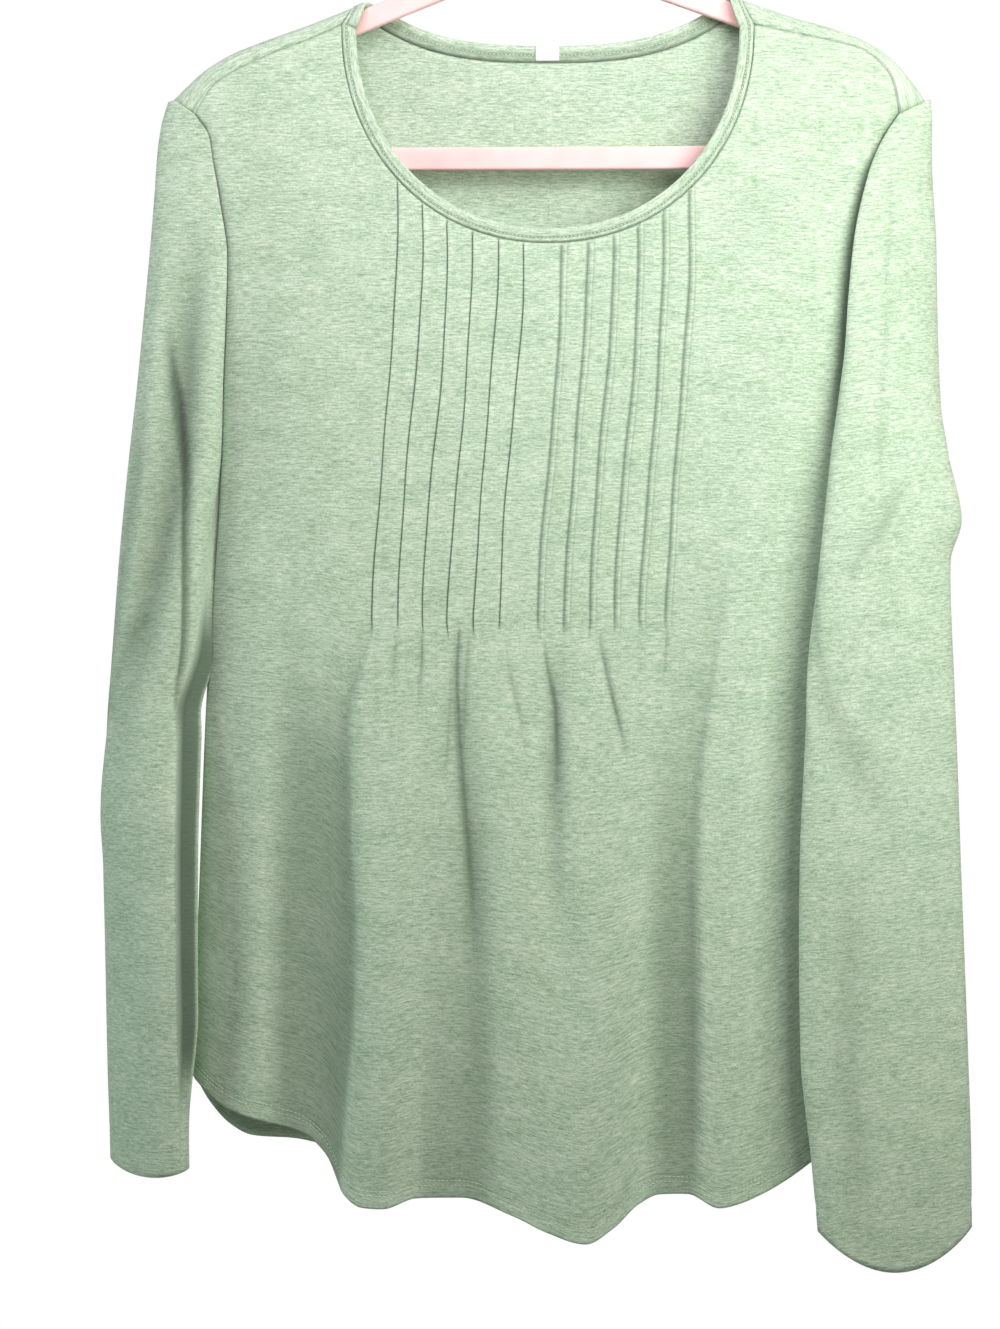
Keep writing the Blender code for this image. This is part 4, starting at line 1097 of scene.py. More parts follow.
@dataclass(frozen=True)
class JerseyFinish:
    """Heathered jersey: pale and dark fibres in short streaks along the courses of the knit."""

    name: str = "sage_heather_jersey"
    colour: Colour = (0.410, 0.572, 0.392, 1.0)
    pale: Colour = (0.680, 0.800, 0.650, 1.0)
    deep: Colour = (0.200, 0.325, 0.200, 1.0)
    # Painted shade: crease is the colour that creases, folds and grooves darken towards; the next colour is a
    # nearly black painted shadow for the gap beside the left sleeve
    crease: Colour = (0.070, 0.125, 0.070, 1.0)
    painted_gap_shadow: Colour = (0.008, 0.012, 0.008, 1.0)
    streak: Triple = (5.0, 0.95, 1.0)
    long_streak: Triple = (15.0, 1.6, 1.0)
    cloud: Triple = (38.0, 16.0, 1.0)
    stitch: Triple = (1.4, 0.7, 1.0)
    streak_weight: float = 2.3
    long_weight: float = 1.1
    cloud_weight: float = 0.5
    stitch_weight: float = 1.4
    pale_gain: float = 1.1
    pale_start: float = 0.04
    deep_gain: float = 1.2
    deep_start: float = 0.02
    painted_shade_share: float = 0.9
    stitch_rise: float = 0.6
    streak_rise: float = 0.5

    def make(self) -> Material:
        """Make the material.

        Returns:
            The material.
        """
        bench = Bench(self.name)
        place = bench.node("ShaderNodeAttribute", {"attribute_name": "grain"}).outputs["Vector"]
        crease = bench.node("ShaderNodeAttribute", {"attribute_name": "crease"}).outputs["Fac"]
        crease = Signal(bench.tree, crease)
        streak = bench.noise(place, self.streak, 3.0)
        long_streak = bench.noise(place, self.long_streak, 2.0)
        cloud = bench.noise(place, self.cloud, 1.0)
        stitch = bench.noise(place, self.stitch, 1.0)
        tone = (streak - 0.5) * self.streak_weight + (long_streak - 0.5) * self.long_weight
        tone = tone + (cloud - 0.5) * self.cloud_weight + (stitch - 0.5) * self.stitch_weight
        lit = bench.mixed(tone * self.pale_gain + self.pale_start, self.colour, self.pale)
        heather = bench.mixed(tone * -self.deep_gain + self.deep_start, lit, self.deep)
        # Painted shade from the crease attribute, and above 1 a mix towards the nearly black painted shadow
        with_painted_shade = bench.mixed(crease * self.painted_shade_share, heather, self.crease)
        bench.feed(bench.shader.inputs["Base Color"], bench.mixed(crease - 1.0, with_painted_shade, self.painted_gap_shadow))
        bench.bump(stitch * self.stitch_rise + streak * self.streak_rise, 0.0006, 0.5)
        bench.set(Roughness=0.92, Sheen_Weight=0.25, Sheen_Roughness=0.6, Specular_IOR_Level=0.2)
        return bench.material


@dataclass(frozen=True)
class FlockFinish:
    """Short velvet flock over plastic."""

    name: str = "pink_flock_velvet"
    colour: Colour = (0.930, 0.600, 0.545, 1.0)
    worn: Colour = (0.960, 0.700, 0.650, 1.0)
    fibre: Triple = (0.35, 0.35, 0.35)
    patch: Triple = (18.0, 18.0, 18.0)
    fibre_weight: float = 0.8
    patch_weight: float = 1.6
    worn_start: float = 0.4

    def make(self) -> Material:
        """Make the material.

        Returns:
            The material.
        """
        bench = Bench(self.name)
        fibre = bench.speckle(self.fibre, 2.0)
        patch = bench.speckle(self.patch, 1.0)
        share = (fibre - 0.5) * self.fibre_weight + (patch - 0.5) * self.patch_weight + self.worn_start
        bench.feed(bench.shader.inputs["Base Color"], bench.mixed(share, self.colour, self.worn))
        bench.bump(fibre, 0.0004, 0.6)
        bench.set(Roughness=0.95, Sheen_Weight=0.5, Sheen_Roughness=0.4, Specular_IOR_Level=0.15)
        return bench.material


@dataclass(frozen=True)
class ThreadFinish:
    """Twisted sewing thread or woven label, in one colour with a fine bump."""

    name: str
    colour: Colour
    shade: Colour
    twist: Triple = (0.4, 0.4, 0.4)

    def make(self) -> Material:
        """Make the material.

        Returns:
            The material.
        """
        bench = Bench(self.name)
        twist = bench.speckle(self.twist, 1.0)
        bench.feed(bench.shader.inputs["Base Color"], bench.mixed(twist, self.colour, self.shade))
        bench.bump(twist, 0.0002, 0.4)
        bench.set(Roughness=0.7, Sheen_Weight=0.1, Specular_IOR_Level=0.3)
        return bench.material


@dataclass(frozen=True)
class ChromeFinish:
    """Polished wire with faint rub marks."""

    name: str = "bright_chrome"
    colour: Colour = (0.80, 0.80, 0.81, 1.0)
    rub: Triple = (3.0, 3.0, 0.6)
    rub_rise: float = 0.12
    smoothest: float = 0.08

    def make(self) -> Material:
        """Make the material.

        Returns:
            The material.
        """
        bench = Bench(self.name)
        rub = bench.speckle(self.rub, 2.0) * self.rub_rise + self.smoothest
        bench.feed(bench.shader.inputs["Roughness"], rub)
        bench.set(Base_Color=self.colour, Metallic=1.0)
        return bench.material


@dataclass(frozen=True)
class Finishes:
    """All materials of the top and its hanger."""

    jersey: Material
    thread: Material
    label: Material
    flock: Material
    chrome: Material


def make_finishes() -> Finishes:
    """Make every material once.

    Returns:
        The materials.
    """
    thread = ThreadFinish("sage_thread", (0.62, 0.76, 0.58, 1.0), (0.46, 0.60, 0.43, 1.0))
    label = ThreadFinish("white_woven_label", (0.88, 0.88, 0.87, 1.0), (0.80, 0.80, 0.79, 1.0))
    return Finishes(
        JerseyFinish().make(), thread.make(), label.make(), FlockFinish().make(), ChromeFinish().make()
    )


def dress(thing: Object, material: Material, slot: str, *nodes: str) -> Object:
    """Give a piece its material and its body, and hide the solids that it stands for.

    Args:
        thing: The piece.
        material: Its material.
        slot: The record's material slot; not used.
        nodes: Solids that the piece replaces.

    Returns:
        The piece.
    """
    thing.data.materials.append(material)
    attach(thing, BODY)
    if nodes:
        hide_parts(*nodes)
    return thing


def line_at(grid: Array, rise: float) -> Array:
    """Find the line that runs at a distance above the last row of a grid.

    Args:
        grid: Points as (row, place, xyz); the last row is the cloth's lower edge.
        rise: Distance along the cloth from that edge.

    Returns:
        One point for each place.
    """
    found = []
    for place in range(grid.shape[1]):
        strand = grid[::-1, place]
        steps = np.linalg.norm(np.diff(strand, axis=0), axis=1)
        run = np.concatenate([[0.0], np.cumsum(steps)])
        found.append([np.interp(rise, run, strand[:, axis]) for axis in range(3)])
    return np.array(found)


def ring(centre: Array, radius: float, first: Array, second: Array, sides: int) -> Array:
    """Find the points of a ring.

    Args:
        centre: Its middle.
        radius: Its radius.
        first: Way to its first point.
        second: Way a quarter turn further.
        sides: Number of points.

    Returns:
        The points.
    """
    turn = np.linspace(0.0, 2 * math.pi, sides, endpoint=False)[:, None]
    return centre + radius * (np.cos(turn) * first + np.sin(turn) * second)


@dataclass(frozen=True)
class Stitching:
    """A row of machine stitches, each a short raised thread that dips into the cloth at its ends."""

    length: float = 2.0
    pitch: float = 2.6
    radius: float = 0.24
    sides: int = 5
    stations: tuple[float, ...] = (0.0, 0.25, 0.75, 1.0)
    lifts: tuple[float, ...] = (-0.25, 0.12, 0.12, -0.25)

    def lay(self, cloth: Cloth, line: Array, outward: Array) -> None:
        """Add stitches along a line.

        Args:
            cloth: Mesh that gets the stitches.
            line: Points that the row follows.
            outward: Way that the cloth faces at each point.
        """
        steps = np.linalg.norm(np.diff(line, axis=0), axis=1)
        run = np.concatenate([[0.0], np.cumsum(steps)])
        count = int((run[-1] - self.length) / self.pitch)
        for number in range(count):
            at = self.pitch * number + (np.asarray(self.stations) * self.length)
            middle = np.stack([np.interp(at, run, line[:, axis]) for axis in range(3)], axis=1)
            out = np.array([np.interp(at[0], run, outward[:, axis]) for axis in range(3)])
            out /= np.linalg.norm(out)
            along = middle[-1] - middle[0]
            along /= np.linalg.norm(along)
            beside = np.cross(along, out)
            places = zip(middle, self.lifts)
            cloth.tube(np.array([
                ring(centre + out * lift, self.radius, out, beside, self.sides) for centre, lift in places
            ]))


def facing(line: Array, away_from: Array) -> Array:
    """Find a rough outward way for each point of a line round or over the top.

    Args:
        line: The points.
        away_from: A point or points inside the cloth.

    Returns:
        Unit vectors, level with the floor.
    """
    out = line - away_from
    out[:, 2] = 0.0
    return out / np.maximum(np.linalg.norm(out, axis=1, keepdims=True), 1e-9)


def square_to(grid: Array, way: float) -> Array:
    """Find the outward normal along the last rows of a panel's grid.

    Args:
        grid: Points as (row, place, xyz).
        way: Sign of the outward side along Y.

    Returns:
        One unit vector for each place.
    """
    last = grid[-3]
    along = np.gradient(last, axis=0)
    up = grid[-6] - grid[-1]
    out = np.cross(along, up)
    out /= np.maximum(np.linalg.norm(out, axis=1, keepdims=True), 1e-9)
    return out * np.sign(out[:, 1:2] * way)


@dataclass
class BodyPanels:
    """The front with its tucks and the back with its strips over the shoulders."""

    form: HangingForm
    wall: float = 0.9
    # Shares of the way from top to hem at which rows get closer or wider apart, and rows between
    row_spans: tuple[tuple[float, float, int], ...] = (
        (0.0, 0.016, 6), (0.016, 0.38, 32), (0.38, 0.60, 46), (0.60, 0.965, 30), (0.965, 1.0, 17),
    )
    shoulder_columns: int = 34
    side_columns: int = 14
    tuck_gap_columns: int = 7
    back_columns: int = 90
    back_rows: int = 150
    wrap_rows: int = 14
    seam_roll: float = 0.9
    seam_roll_run: float = 2.2
    hem_rows: tuple[float, float] = (7.4, 10.2)
    hem_depth: float = 0.35
    hem_press: float = 1.3
    # Painted shadow beside the armholes, where each sleeve's edge lies on the front
    lap_left: float = 0.35
    lap_left_reach: float = 3.0
    lap_right: float = 1.0
    lap_right_reach: float = 4.6
    lap_top_z: float = -150.0
    lap_low_z: float = -430.0
    lap_start: float = 85.0
    lap_fade: float = 120.0
    underarm_fade: float = 0.03
    hem_share: float = 0.9
    follow_start: float = 0.35
    follow: float = 0.75
    strip_gap: float = 0.1
    strip_gap_power: float = 8.0
    strip_sink_run: float = 0.09
    strip_sink_y: float = 0.7
    strip_sink_z: float = 0.3
    strip_grain: float = 110.0
    strip_run: float = 26.0
    share_step: float = 0.02
    grids: dict[Panel, Array] = field(default_factory=dict)

    def _neck_columns(self) -> Array:
        """Place the front's columns along the neckline, so that a tuck's overhang keeps its order.

        Returns:
            For each column its base place, its tuck's rise and painted shade, and its place once sewn.
        """
        neck = self.form.neck
        tucks = self.form.tucks
        knots = np.concatenate([[1.0], neck.side_shares])
        steps = np.linspace(0, len(knots) - 1, self.side_columns + 1)[1:]
        reach = np.interp(steps, range(len(knots)), knots) * neck.half_width
        plain = [neck.mid_x - r for r in reach] + [neck.mid_x + r for r in reach]
        found = []
        ends = [neck.mid_x - reach[-1], neck.mid_x + reach[-1]]
        for middle in tucks.middles():
            way = math.copysign(1.0, middle)
            section = tucks.section(middle)
            for number, (place, rise, dark) in enumerate(section):
                even = tucks.section_run * number / (len(section) - 1) - tucks.half_section
                found.append((middle + even * way, rise, dark, middle + place * way))
            ends += [middle - tucks.half_section, middle + tucks.half_section]
        ends.sort()
        for left, right in zip(ends[::2], ends[1::2]):
            plain += list(np.linspace(left, right, self.tuck_gap_columns + 2)[1:-1])
        found += [(float(x), 0.0, 0.0, float(x)) for x in plain]
        return np.array(sorted(found, key=lambda row: row[0]))

    def _tops(self, panel: Panel) -> Array:
        """Place a panel's columns along its top edge, from left to right.

        Args:
            panel: Which panel.

        Returns:
            For each column its x, y and z, its tuck's rise and painted shade, and its x once sewn.
        """
        form = self.form
        count = self.shoulder_columns
        wrap = np.full(count, 0.0 if panel is Panel.FRONT else 1.0)
        if panel is Panel.FRONT:
            x, rise, dark, shown = self._neck_columns().T
            z = form.neck.front_z(x)
            y = form.panel_y(panel, x, z)
        else:
            x = form.neck.mid_x + form.neck.back_half_width * np.linspace(-1.0, 1.0, self.back_columns)[1:-1]
            z, y = form.neck.back(x)
            rise, dark, shown = np.zeros_like(x), np.zeros_like(x), x
        parts = [np.stack([x, y, z, rise, dark, shown], axis=1)]
        for side, place, shares in (
            (Side.LEFT, 0, np.linspace(1.0, 0.0, count)), (Side.RIGHT, 2, np.linspace(0.0, 1.0, count)),
        ):
            x, y, z = form.shoulder_point(side, shares, wrap)
            parts.insert(place, np.stack([x, y, z, np.zeros(count), np.zeros(count), x], axis=1))
        return np.concatenate(parts)

    def _hang(
        self, panel: Panel, tops: Array, shares: Array
    ) -> tuple[Array, Array, Array]:
        """Hang a panel row by row from its top edge to its hem.

        Args:
            panel: Which panel.
            tops: The columns on the top edge.
            shares: The rows, as shares of the way from the top to the hem.

        Returns:
            Points, places on the flat cloth and painted crease shades, each as (row, place).
        """
        form = self.form
        tucks = form.tucks
        top_x, top_y, top_z, rise, dark, shown = tops.T
        hem = HEM[panel]
        low_x = form.column_x(top_x, top_z, np.full_like(top_x, hem[0].z), 1.0, panel)
        low_z = column(hem, "x", "z", low_x)
        from_top = top_y - form.panel_y(panel, top_x, top_z)
        steady = np.abs(top_x) < form.steady_half_width
        grid, grain, shade = [], [], []
        for share in shares:
            share = float(share)
            z = top_z + (low_z - top_z) * share
            x = form.column_x(top_x, top_z, z, share, panel)
            y = form.panel_y(panel, x, z) + from_top * np.exp(-(top_z - z) / form.shoulder_settle)
            if panel is Panel.FRONT:
                sewn = tucks.sewn(top_x, top_z, z)
                y = y - rise * sewn * tucks.height
                x = x + (shown - top_x) * sewn + tucks.wave(top_x, z) * sewn * steady
            for place, side in ((0, Side.LEFT), (-1, Side.RIGHT)):
                z[place] = form.side_row_z(side, share)
                x[place], y[place] = form.side_edge(side, z[place], panel)
            below_top = top_z - z if panel is Panel.FRONT else np.full_like(x, np.inf)
            y = y - panel.value * self._roll(x, below_top, share)
            y = y - panel.value * self._hem_relief(low_z - z, share)
            grid.append(np.stack([x, y, z], axis=1))
            grain.append(self._grain(x, z, low_z, share))
            if panel is Panel.FRONT:
                # Painted shade in tuck crevices and fold hollows, and the sleeve's painted shadow beside the
                # armhole
                depth = form.panel_shade(panel, x, z) + self._lap_shade(x, z)
                shade.append(np.clip(np.maximum(dark * sewn, depth), 0.0, 1.0))
            else:
                shade.append(np.zeros_like(x))
        return np.array(grid), np.array(grain), np.array(shade)

    def build_front(self, jersey: Material) -> Object:
        """Build the front panel.

        Args:
            jersey: Material of the cloth.

        Returns:
            The piece.
        """
        cloth = Cloth("front_cloth")
        grid, grain, shade = self._hang(Panel.FRONT, self._tops(Panel.FRONT), self._shares())
        cloth.skin(cloth.add_grid(grid, grain, shade))
        self.grids[Panel.FRONT] = grid
        LOG.info("front with %d tucks", 2 * self.form.tucks.each_side)
        return dress(cloth.make(self.wall, (0.0, -1.0, 0.0)), jersey, "sage_jersey", "front")

    def _shares(self) -> Array:
        """List the rows of the front as shares of the way down, closer together where it matters."""
        parts = [np.linspace(first, last, count, endpoint=False) for first, last, count in self.row_spans]
        return np.concatenate(parts + [np.array([1.0])])

    def _roll(self, x: Array, below_top: Array, share: float) -> Array:
        """Sink the cloth a little along the seams at its top and sides.

        Args:
            x: Places of the row.
            below_top: Distance below the top edge.
            share: Share of the row.

        Returns:
            Move inwards at each place.
        """
        left = np.abs(x - x[0])
        right = np.abs(x[-1] - x)
        armhole = 1.0 - ease((share - self.form.underarm_share) / self.underarm_fade)
        top = np.exp(-(below_top / self.seam_roll_run) ** 2)
        sides = np.exp(-(np.minimum(left, right) / self.seam_roll_run) ** 2) * armhole
        return self.seam_roll * np.maximum(top, sides)

    def _lap_shade(self, x: Array, z: Array) -> Array:
        """Find the painted shadow that each sleeve's edge casts on the panel beside the armhole.

        Args:
            x: Places of the row.
            z: Heights of the row.

        Returns:
            Painted shadow from 0 to 1.
        """
        along = ease((self.lap_top_z - z) / self.lap_start) * ease((z - self.lap_low_z) / self.lap_fade)
        sleeve_edge = column(SLEEVE[Side.RIGHT], "z", "inner_x", z)
        left = np.exp(-((x - x[0]) / self.lap_left_reach) ** 2)
        right = np.exp(-(np.maximum(sleeve_edge - x, 0.0) / self.lap_right_reach) ** 2)
        return along * (self.lap_left * left + self.lap_right * right)

    def _hem_relief(self, above_hem: Array, share: float) -> Array:
        """Press the line of the hem's stitching into the cloth.

        Args:
            above_hem: Height of the hem minus the row's own, below 0 above the hem.
            share: Share of the row.

        Returns:
            Move inwards at each place.
        """
        total = np.zeros_like(above_hem)
        for rise in self.hem_rows if share >= self.hem_share else ():
            total = total + self.hem_depth * np.exp(-((-above_hem - rise) / self.hem_press) ** 2)
        return total

    def _grain(self, x: Array, z: Array, low_z: Array, share: float) -> Array:
        """Find the place on the flat cloth; the courses follow the hem in the lower half.

        Args:
            x: Places of the row.
            z: Heights of the row.
            low_z: Height of the hem below each place.
            share: Share of the row.

        Returns:
            Across and along for each place.
        """
        follow = float(ease((share - self.follow_start) / (1.0 - self.follow_start))) * self.follow
        return np.stack([x, -z + (low_z - float(np.mean(low_z))) * follow], axis=1)

    def build_back(self, jersey: Material) -> Object:
        """Build the back panel with the strips that pass over the shoulders.

        Args:
            jersey: Material of the cloth.

        Returns:
            The piece.
        """
        count = self.shoulder_columns
        tops = self._tops(Panel.BACK)
        grid, grain, shade = self._hang(Panel.BACK, tops, np.linspace(0.0, 1.0, self.back_rows))
        cloth = Cloth("back_cloth")
        numbers = cloth.add_grid(grid, grain, shade)
        cloth.skin(numbers)
        for side, first in ((Side.LEFT, 0), (Side.RIGHT, len(tops) - count)):
            strip, strip_grain = self._strip(side, count)
            added = cloth.add_grid(strip, strip_grain, np.zeros(strip.shape[:2]))
            cloth.skin(np.concatenate([added, numbers[:1, first:first + count]], axis=0))
        self.grids[Panel.BACK] = grid
        LOG.info("back with its strips over the shoulders")
        return dress(cloth.make(self.wall, (0.0, 1.0, 0.0)), jersey, "sage_jersey", "back")

    def _strip(self, side: Side, count: int) -> tuple[Array, Array]:
        """Build the strip over one shoulder, from the front seam to just before the back panel.

        Args:
            side: Which shoulder.
            count: Number of columns.

        Returns:
            Points and grain as grids.
        """
        form = self.form
        share = np.linspace(1.0, 0.0, count) if side is Side.LEFT else np.linspace(0.0, 1.0, count)
        after = form.shoulder_point(side, np.minimum(share + self.share_step, 1.0), np.zeros(count))
        before = form.shoulder_point(side, np.maximum(share - self.share_step, 0.0), np.zeros(count))
        run = np.hypot(after[0] - before[0], after[2] - before[2])
        points = []
        grain = []
        for wrap in np.linspace(0.0, 1.0, self.wrap_rows)[:-1]:
            x, y, z = form.shoulder_point(side, share, np.full(count, wrap))
            lift = self.strip_gap * (1.0 - wrap) ** self.strip_gap_power / run
            sink = self.seam_roll * math.exp(-(wrap / self.strip_sink_run) ** 2)
            x = x + lift * np.abs(after[2] - before[2]) * side.value
            z = z + lift * np.abs(after[0] - before[0])
            points.append(np.stack([x, y + sink * self.strip_sink_y, z - sink * self.strip_sink_z], axis=1))
            grain.append(np.stack([x, np.full(count, self.strip_grain - wrap * self.strip_run)], axis=1))
        return np.array(points), np.array(grain)

    def build_hem_stitches(self, thread: Material) -> Object:
        """Build the two rows of stitches round the hem of both panels.

        Args:
            thread: Material of the thread.

        Returns:
            The piece.
        """
        cloth = Cloth("hem_stitches")
        stitching = Stitching()
        for panel, grid in self.grids.items():
            outward = square_to(grid, float(panel.value))
            for rise in self.hem_rows:
                stitching.lay(cloth, line_at(grid, rise)[1:-1], outward[1:-1])
        return dress(cloth.make(), thread, "sage_jersey")


@dataclass
class ArmSleeve:
    """One set-in long sleeve with its cuff."""

    form: HangingForm
    side: Side
    cuff_mid_x: float
    cuff_half_width: float
    cuff_edge_z: float
    cuff_dip: float
    wall: float = 0.9
    around: int = 96
    cap_rows: int = 70
    cap_bunching: float = 1.25
    lower_rows: int = 150
    dip_power: float = 4.0
    slant: float = 0.03
    grain_shift: float = 500.0
    stitch_span: int = 60
    crown: float = 10.0
    crown_end_share: float = 0.15
    seam_roll: float = 0.9
    seam_roll_run: float = 2.4
    cuff_rows: tuple[float, float] = (13.2, 16.0)
    cuff_depth: float = 0.35
    cuff_press: float = 1.3
    # Painted shade in the long front groove and the creases, and a painted shadow on the inner strip beside
    # the body
    groove_full: float = 9.0
    groove_shade: float = 0.6
    crease_full: float = 3.6
    inner_shade: float = 0.0
    inner_angle: float = 2.68
    inner_turn: float = 0.14
    inner_top_z: float = -455.0
    inner_low_z: float = -790.0
    inner_fade: float = 50.0
    grid: Array | None = None

    def build(self, jersey: Material) -> Object:
        """Build the sleeve.

        Args:
            jersey: Material of the cloth.

        Returns:
            The piece.
        """
        angles = np.linspace(-math.pi, math.pi, self.around)
        cap = self._cap(angles)
        lower = self._lower(angles)
        cap[-1, -1] = cap[-1, 0]
        name = self.side.name.lower()
        cloth = Cloth(f"sleeve_{name}_cloth")
        cap_numbers = cloth.add_grid(cap, self._grain(cap), self._shade(cap, angles))
        low_numbers = cloth.add_grid(lower, self._grain(lower), self._shade(lower, angles))
        cap_numbers[-1, -1] = cap_numbers[-1, 0]
        low_numbers[:, -1] = low_numbers[:, 0]
        cloth.skin(np.concatenate([cap_numbers, low_numbers], axis=0))
        self.grid = np.concatenate([cap, lower], axis=0)
        made = cloth.make(self.wall)
        self._drop_loose(made)
        LOG.info("sleeve %s", name)
        return dress(made, jersey, "sage_jersey", f"sleeve_{name}")

    def _drop_loose(self, made: Object) -> None:
        """Remove the points that no face uses.

        Args:
            made: The sleeve.
        """
        work = bmesh.new()
        work.from_mesh(made.data)
        loose = [vert for vert in work.verts if not vert.link_faces]
        bmesh.ops.delete(work, geom=loose, context="VERTS")
        work.to_mesh(made.data)
        work.free()

    def _cap(self, angles: Array) -> Array:
        """Find the open part above the underarm.

        Args:
            angles: Ways round the section.

        Returns:
            Points as (row, place, xyz).
        """
        form = self.form
        points = []
        shares = np.linspace(0.0, 1.0, self.cap_rows) ** self.cap_bunching * form.underarm_share
        for share in shares:
            z = form.side_row_z(self.side, float(share))
            x, y = form.sleeve_point(self.side, np.full_like(angles, z), angles)
            crown = self.crown * (1.0 - float(ease(share / self.crown_end_share)))
            level = z + crown * (1.0 + np.cos(angles)) / 2
            if share == 0.0:
                wraps = (angles + math.pi) / (2 * math.pi)
                x, y, level = form.shoulder_point(self.side, np.ones_like(angles), wraps)
            points.append(np.stack([x, y, level], axis=1))
        return self._shaped(np.array(points), angles)

    def _lower(self, angles: Array) -> Array:
        """Find the closed tube below the underarm.

        Args:
            angles: Ways round the section.

        Returns:
            Points as (row, place, xyz).
        """
        form = self.form
        underarm = form.side_row_z(self.side, form.underarm_share)
        points = []
        for row in range(1, self.lower_rows + 1):
            share = row / self.lower_rows
            flat_z = underarm + (self.cuff_edge_z - underarm) * share
            x, y = form.sleeve_point(self.side, np.full_like(angles, flat_z), angles)
            level = flat_z - self._dip(x) * share ** self.dip_power
            points.append(np.stack([x, y, level], axis=1))
        return self._shaped(np.array(points), angles)

    def _dip(self, x: Array) -> Array:
        """Find how far the cuff's edge hangs below its ends."""
        return self.cuff_dip * (1.0 - np.clip((x - self.cuff_mid_x) / self.cuff_half_width, -1.0, 1.0) ** 2)

    def _shaped(self, grid: Array, angles: Array) -> Array:
        """Add soft creases and the pressed lines of seam and cuff to part of the sleeve.

        Args:
            grid: Points as (row, place, xyz).
            angles: Ways round the section.

        Returns:
            The shaped points.
        """
        x, z = grid[..., 0], grid[..., 2]
        middle = grid.mean(axis=1, keepdims=True)
        out = grid - middle
        out[..., 2] = 0.0
        out /= np.maximum(np.linalg.norm(out, axis=2, keepdims=True), 1e-9)
        rise = np.zeros(x.shape)
        for crease in SLEEVE_CREASES[self.side]:
            rise = rise + crease.rise(angles[None, :], z)
        shaped = grid + out * rise[..., None]
        press = np.zeros(x.shape)
        above = z - (self.cuff_edge_z - self._dip(x))
        for up in self.cuff_rows:
            press = press + self.cuff_depth * np.exp(-((above - up) / self.cuff_press) ** 2)
        return shaped - out * press[..., None]

    def _shade(self, grid: Array, angles: Array) -> Array:
        """Find the painted shade of each point: in the sleeve's long front fold and along its creases.

        Args:
            grid: Points as (row, place, xyz).
            angles: Ways round the section.

        Returns:
            Painted shade from 0 to 1, and up to 2 along the inner strip beside the body, where a nearly black
            painted shadow is mixed in.
        """
        z = grid[..., 2]
        deep = column(SLEEVE[self.side], "z", "groove", z) / self.groove_full
        offset = (angles[None, :] - ARMHOLE[self.side].groove_angle) / self.form.groove_spread
        total = self.groove_shade * np.clip(deep, 0.0, 1.0) * np.exp(-offset ** 2)
        for crease in SLEEVE_CREASES[self.side]:
            total = total + np.clip(-crease.rise(angles[None, :], z) / self.crease_full, 0.0, 1.0)
        # Painted shadow on the inner back strip beside the body, which the material mixes towards nearly
        # black above 1
        inner = ease((angles[None, :] - self.inner_angle) / self.inner_turn)
        down = ease((self.inner_top_z - z) / self.inner_fade)
        up = ease((z - self.inner_low_z) / self.inner_fade)
        return np.clip(total, 0.0, 1.0) + self.inner_shade * inner * down * up

    def _grain(self, grid: Array) -> Array:
        """Find the place on the flat sleeve.

        Args:
            grid: Points as (row, place, xyz).

        Returns:
            Across and along for each point.
        """
        step = np.linalg.norm(np.diff(grid, axis=1), axis=2)
        around = np.concatenate([np.zeros((grid.shape[0], 1)), np.cumsum(step, axis=1)], axis=1)
        around = around - around[:, -1:] / 2
        across = around + self.grain_shift * self.side.value
        return np.stack([across, -grid[..., 2] + around * self.slant], axis=2)

    def build_cuff_stitches(self, thread: Material) -> Object:
        """Build the two rows of stitches round the cuff.

        Args:
            thread: Material of the thread.

        Returns:
            The piece.
        """
        cloth = Cloth(f"cuff_{self.side.name.lower()}_stitches")
        middle = self.grid[-3].mean(axis=0)
        for rise in self.cuff_rows:
            line = line_at(self.grid[-self.stitch_span:], rise)
            Stitching().lay(cloth, line, facing(line, middle))
        return dress(cloth.make(), thread, "sage_jersey")


@dataclass(frozen=True)
class SleeveCrease:
    """A crease or soft fold on a sleeve, followed round and down it by its angle."""

    top_z: float
    low_z: float
    top_angle: float
    low_angle: float
    spread: float
    height: float

    def rise(self, angle: Array, z: Array) -> Array:
        """Measure how far the crease lifts the cloth.

        Args:
            angle: Ways round the section.
            z: Heights.

        Returns:
            Lift at each point.
        """
        share = (self.top_z - z) / (self.top_z - self.low_z)
        middle = self.top_angle + (self.low_angle - self.top_angle) * share
        within = ease(share * 4.0) * ease((1.0 - share) * 4.0)
        return self.height * within * np.exp(-((angle - middle) / self.spread) ** 2)


SLEEVE_CREASES = {
    Side.LEFT: rows(SleeveCrease, (
        (-215, -420, -1, -0.9, 0.25, 0.9),
        (-330, -640, -0.75, -0.6, 0.30, -1.2),
        (-470, -600, -1.7, -0.4, 0.22, -1),
        (-560, -700, -2.2, -1.2, 0.30, 1.2),
        (-600, -815, -0.9, -1, 0.30, 0.9),
        (-420, -560, 1.2, 2.2, 0.25, -1.2),
        (-520, -760, 1.4, 1.2, 0.35, 1.4),
        (-480, -800, 2.7, 2.7, 0.40, 10.5),
        (-365, -545, 2.45, 2.7, 0.45, 9),
        (-290, -575, -1.06, -3.4, 0.11, -3.4),
    )),
    Side.RIGHT: rows(SleeveCrease, (
        (-165, -460, -1.30, -0.42, 0.07, -0.6),
        (-250, -640, -2.3, -2.2, 0.16, 1),
        (-395, -470, -0.2, -0.9, 0.12, -1),
        (-415, -520, -0.3, -1.2, 0.14, 0.9),
        (-440, -620, -1.8, -1.5, 0.22, -0.9),
        (-560, -840, -1.1, -1.2, 0.24, 0.9),
        (-620, -860, -2, -2.1, 0.20, -0.8),
        (-420, -620, 1.2, 1.9, 0.25, -1.2),
        (-540, -820, 1.6, 1.3, 0.30, 1.3),
    )),
}


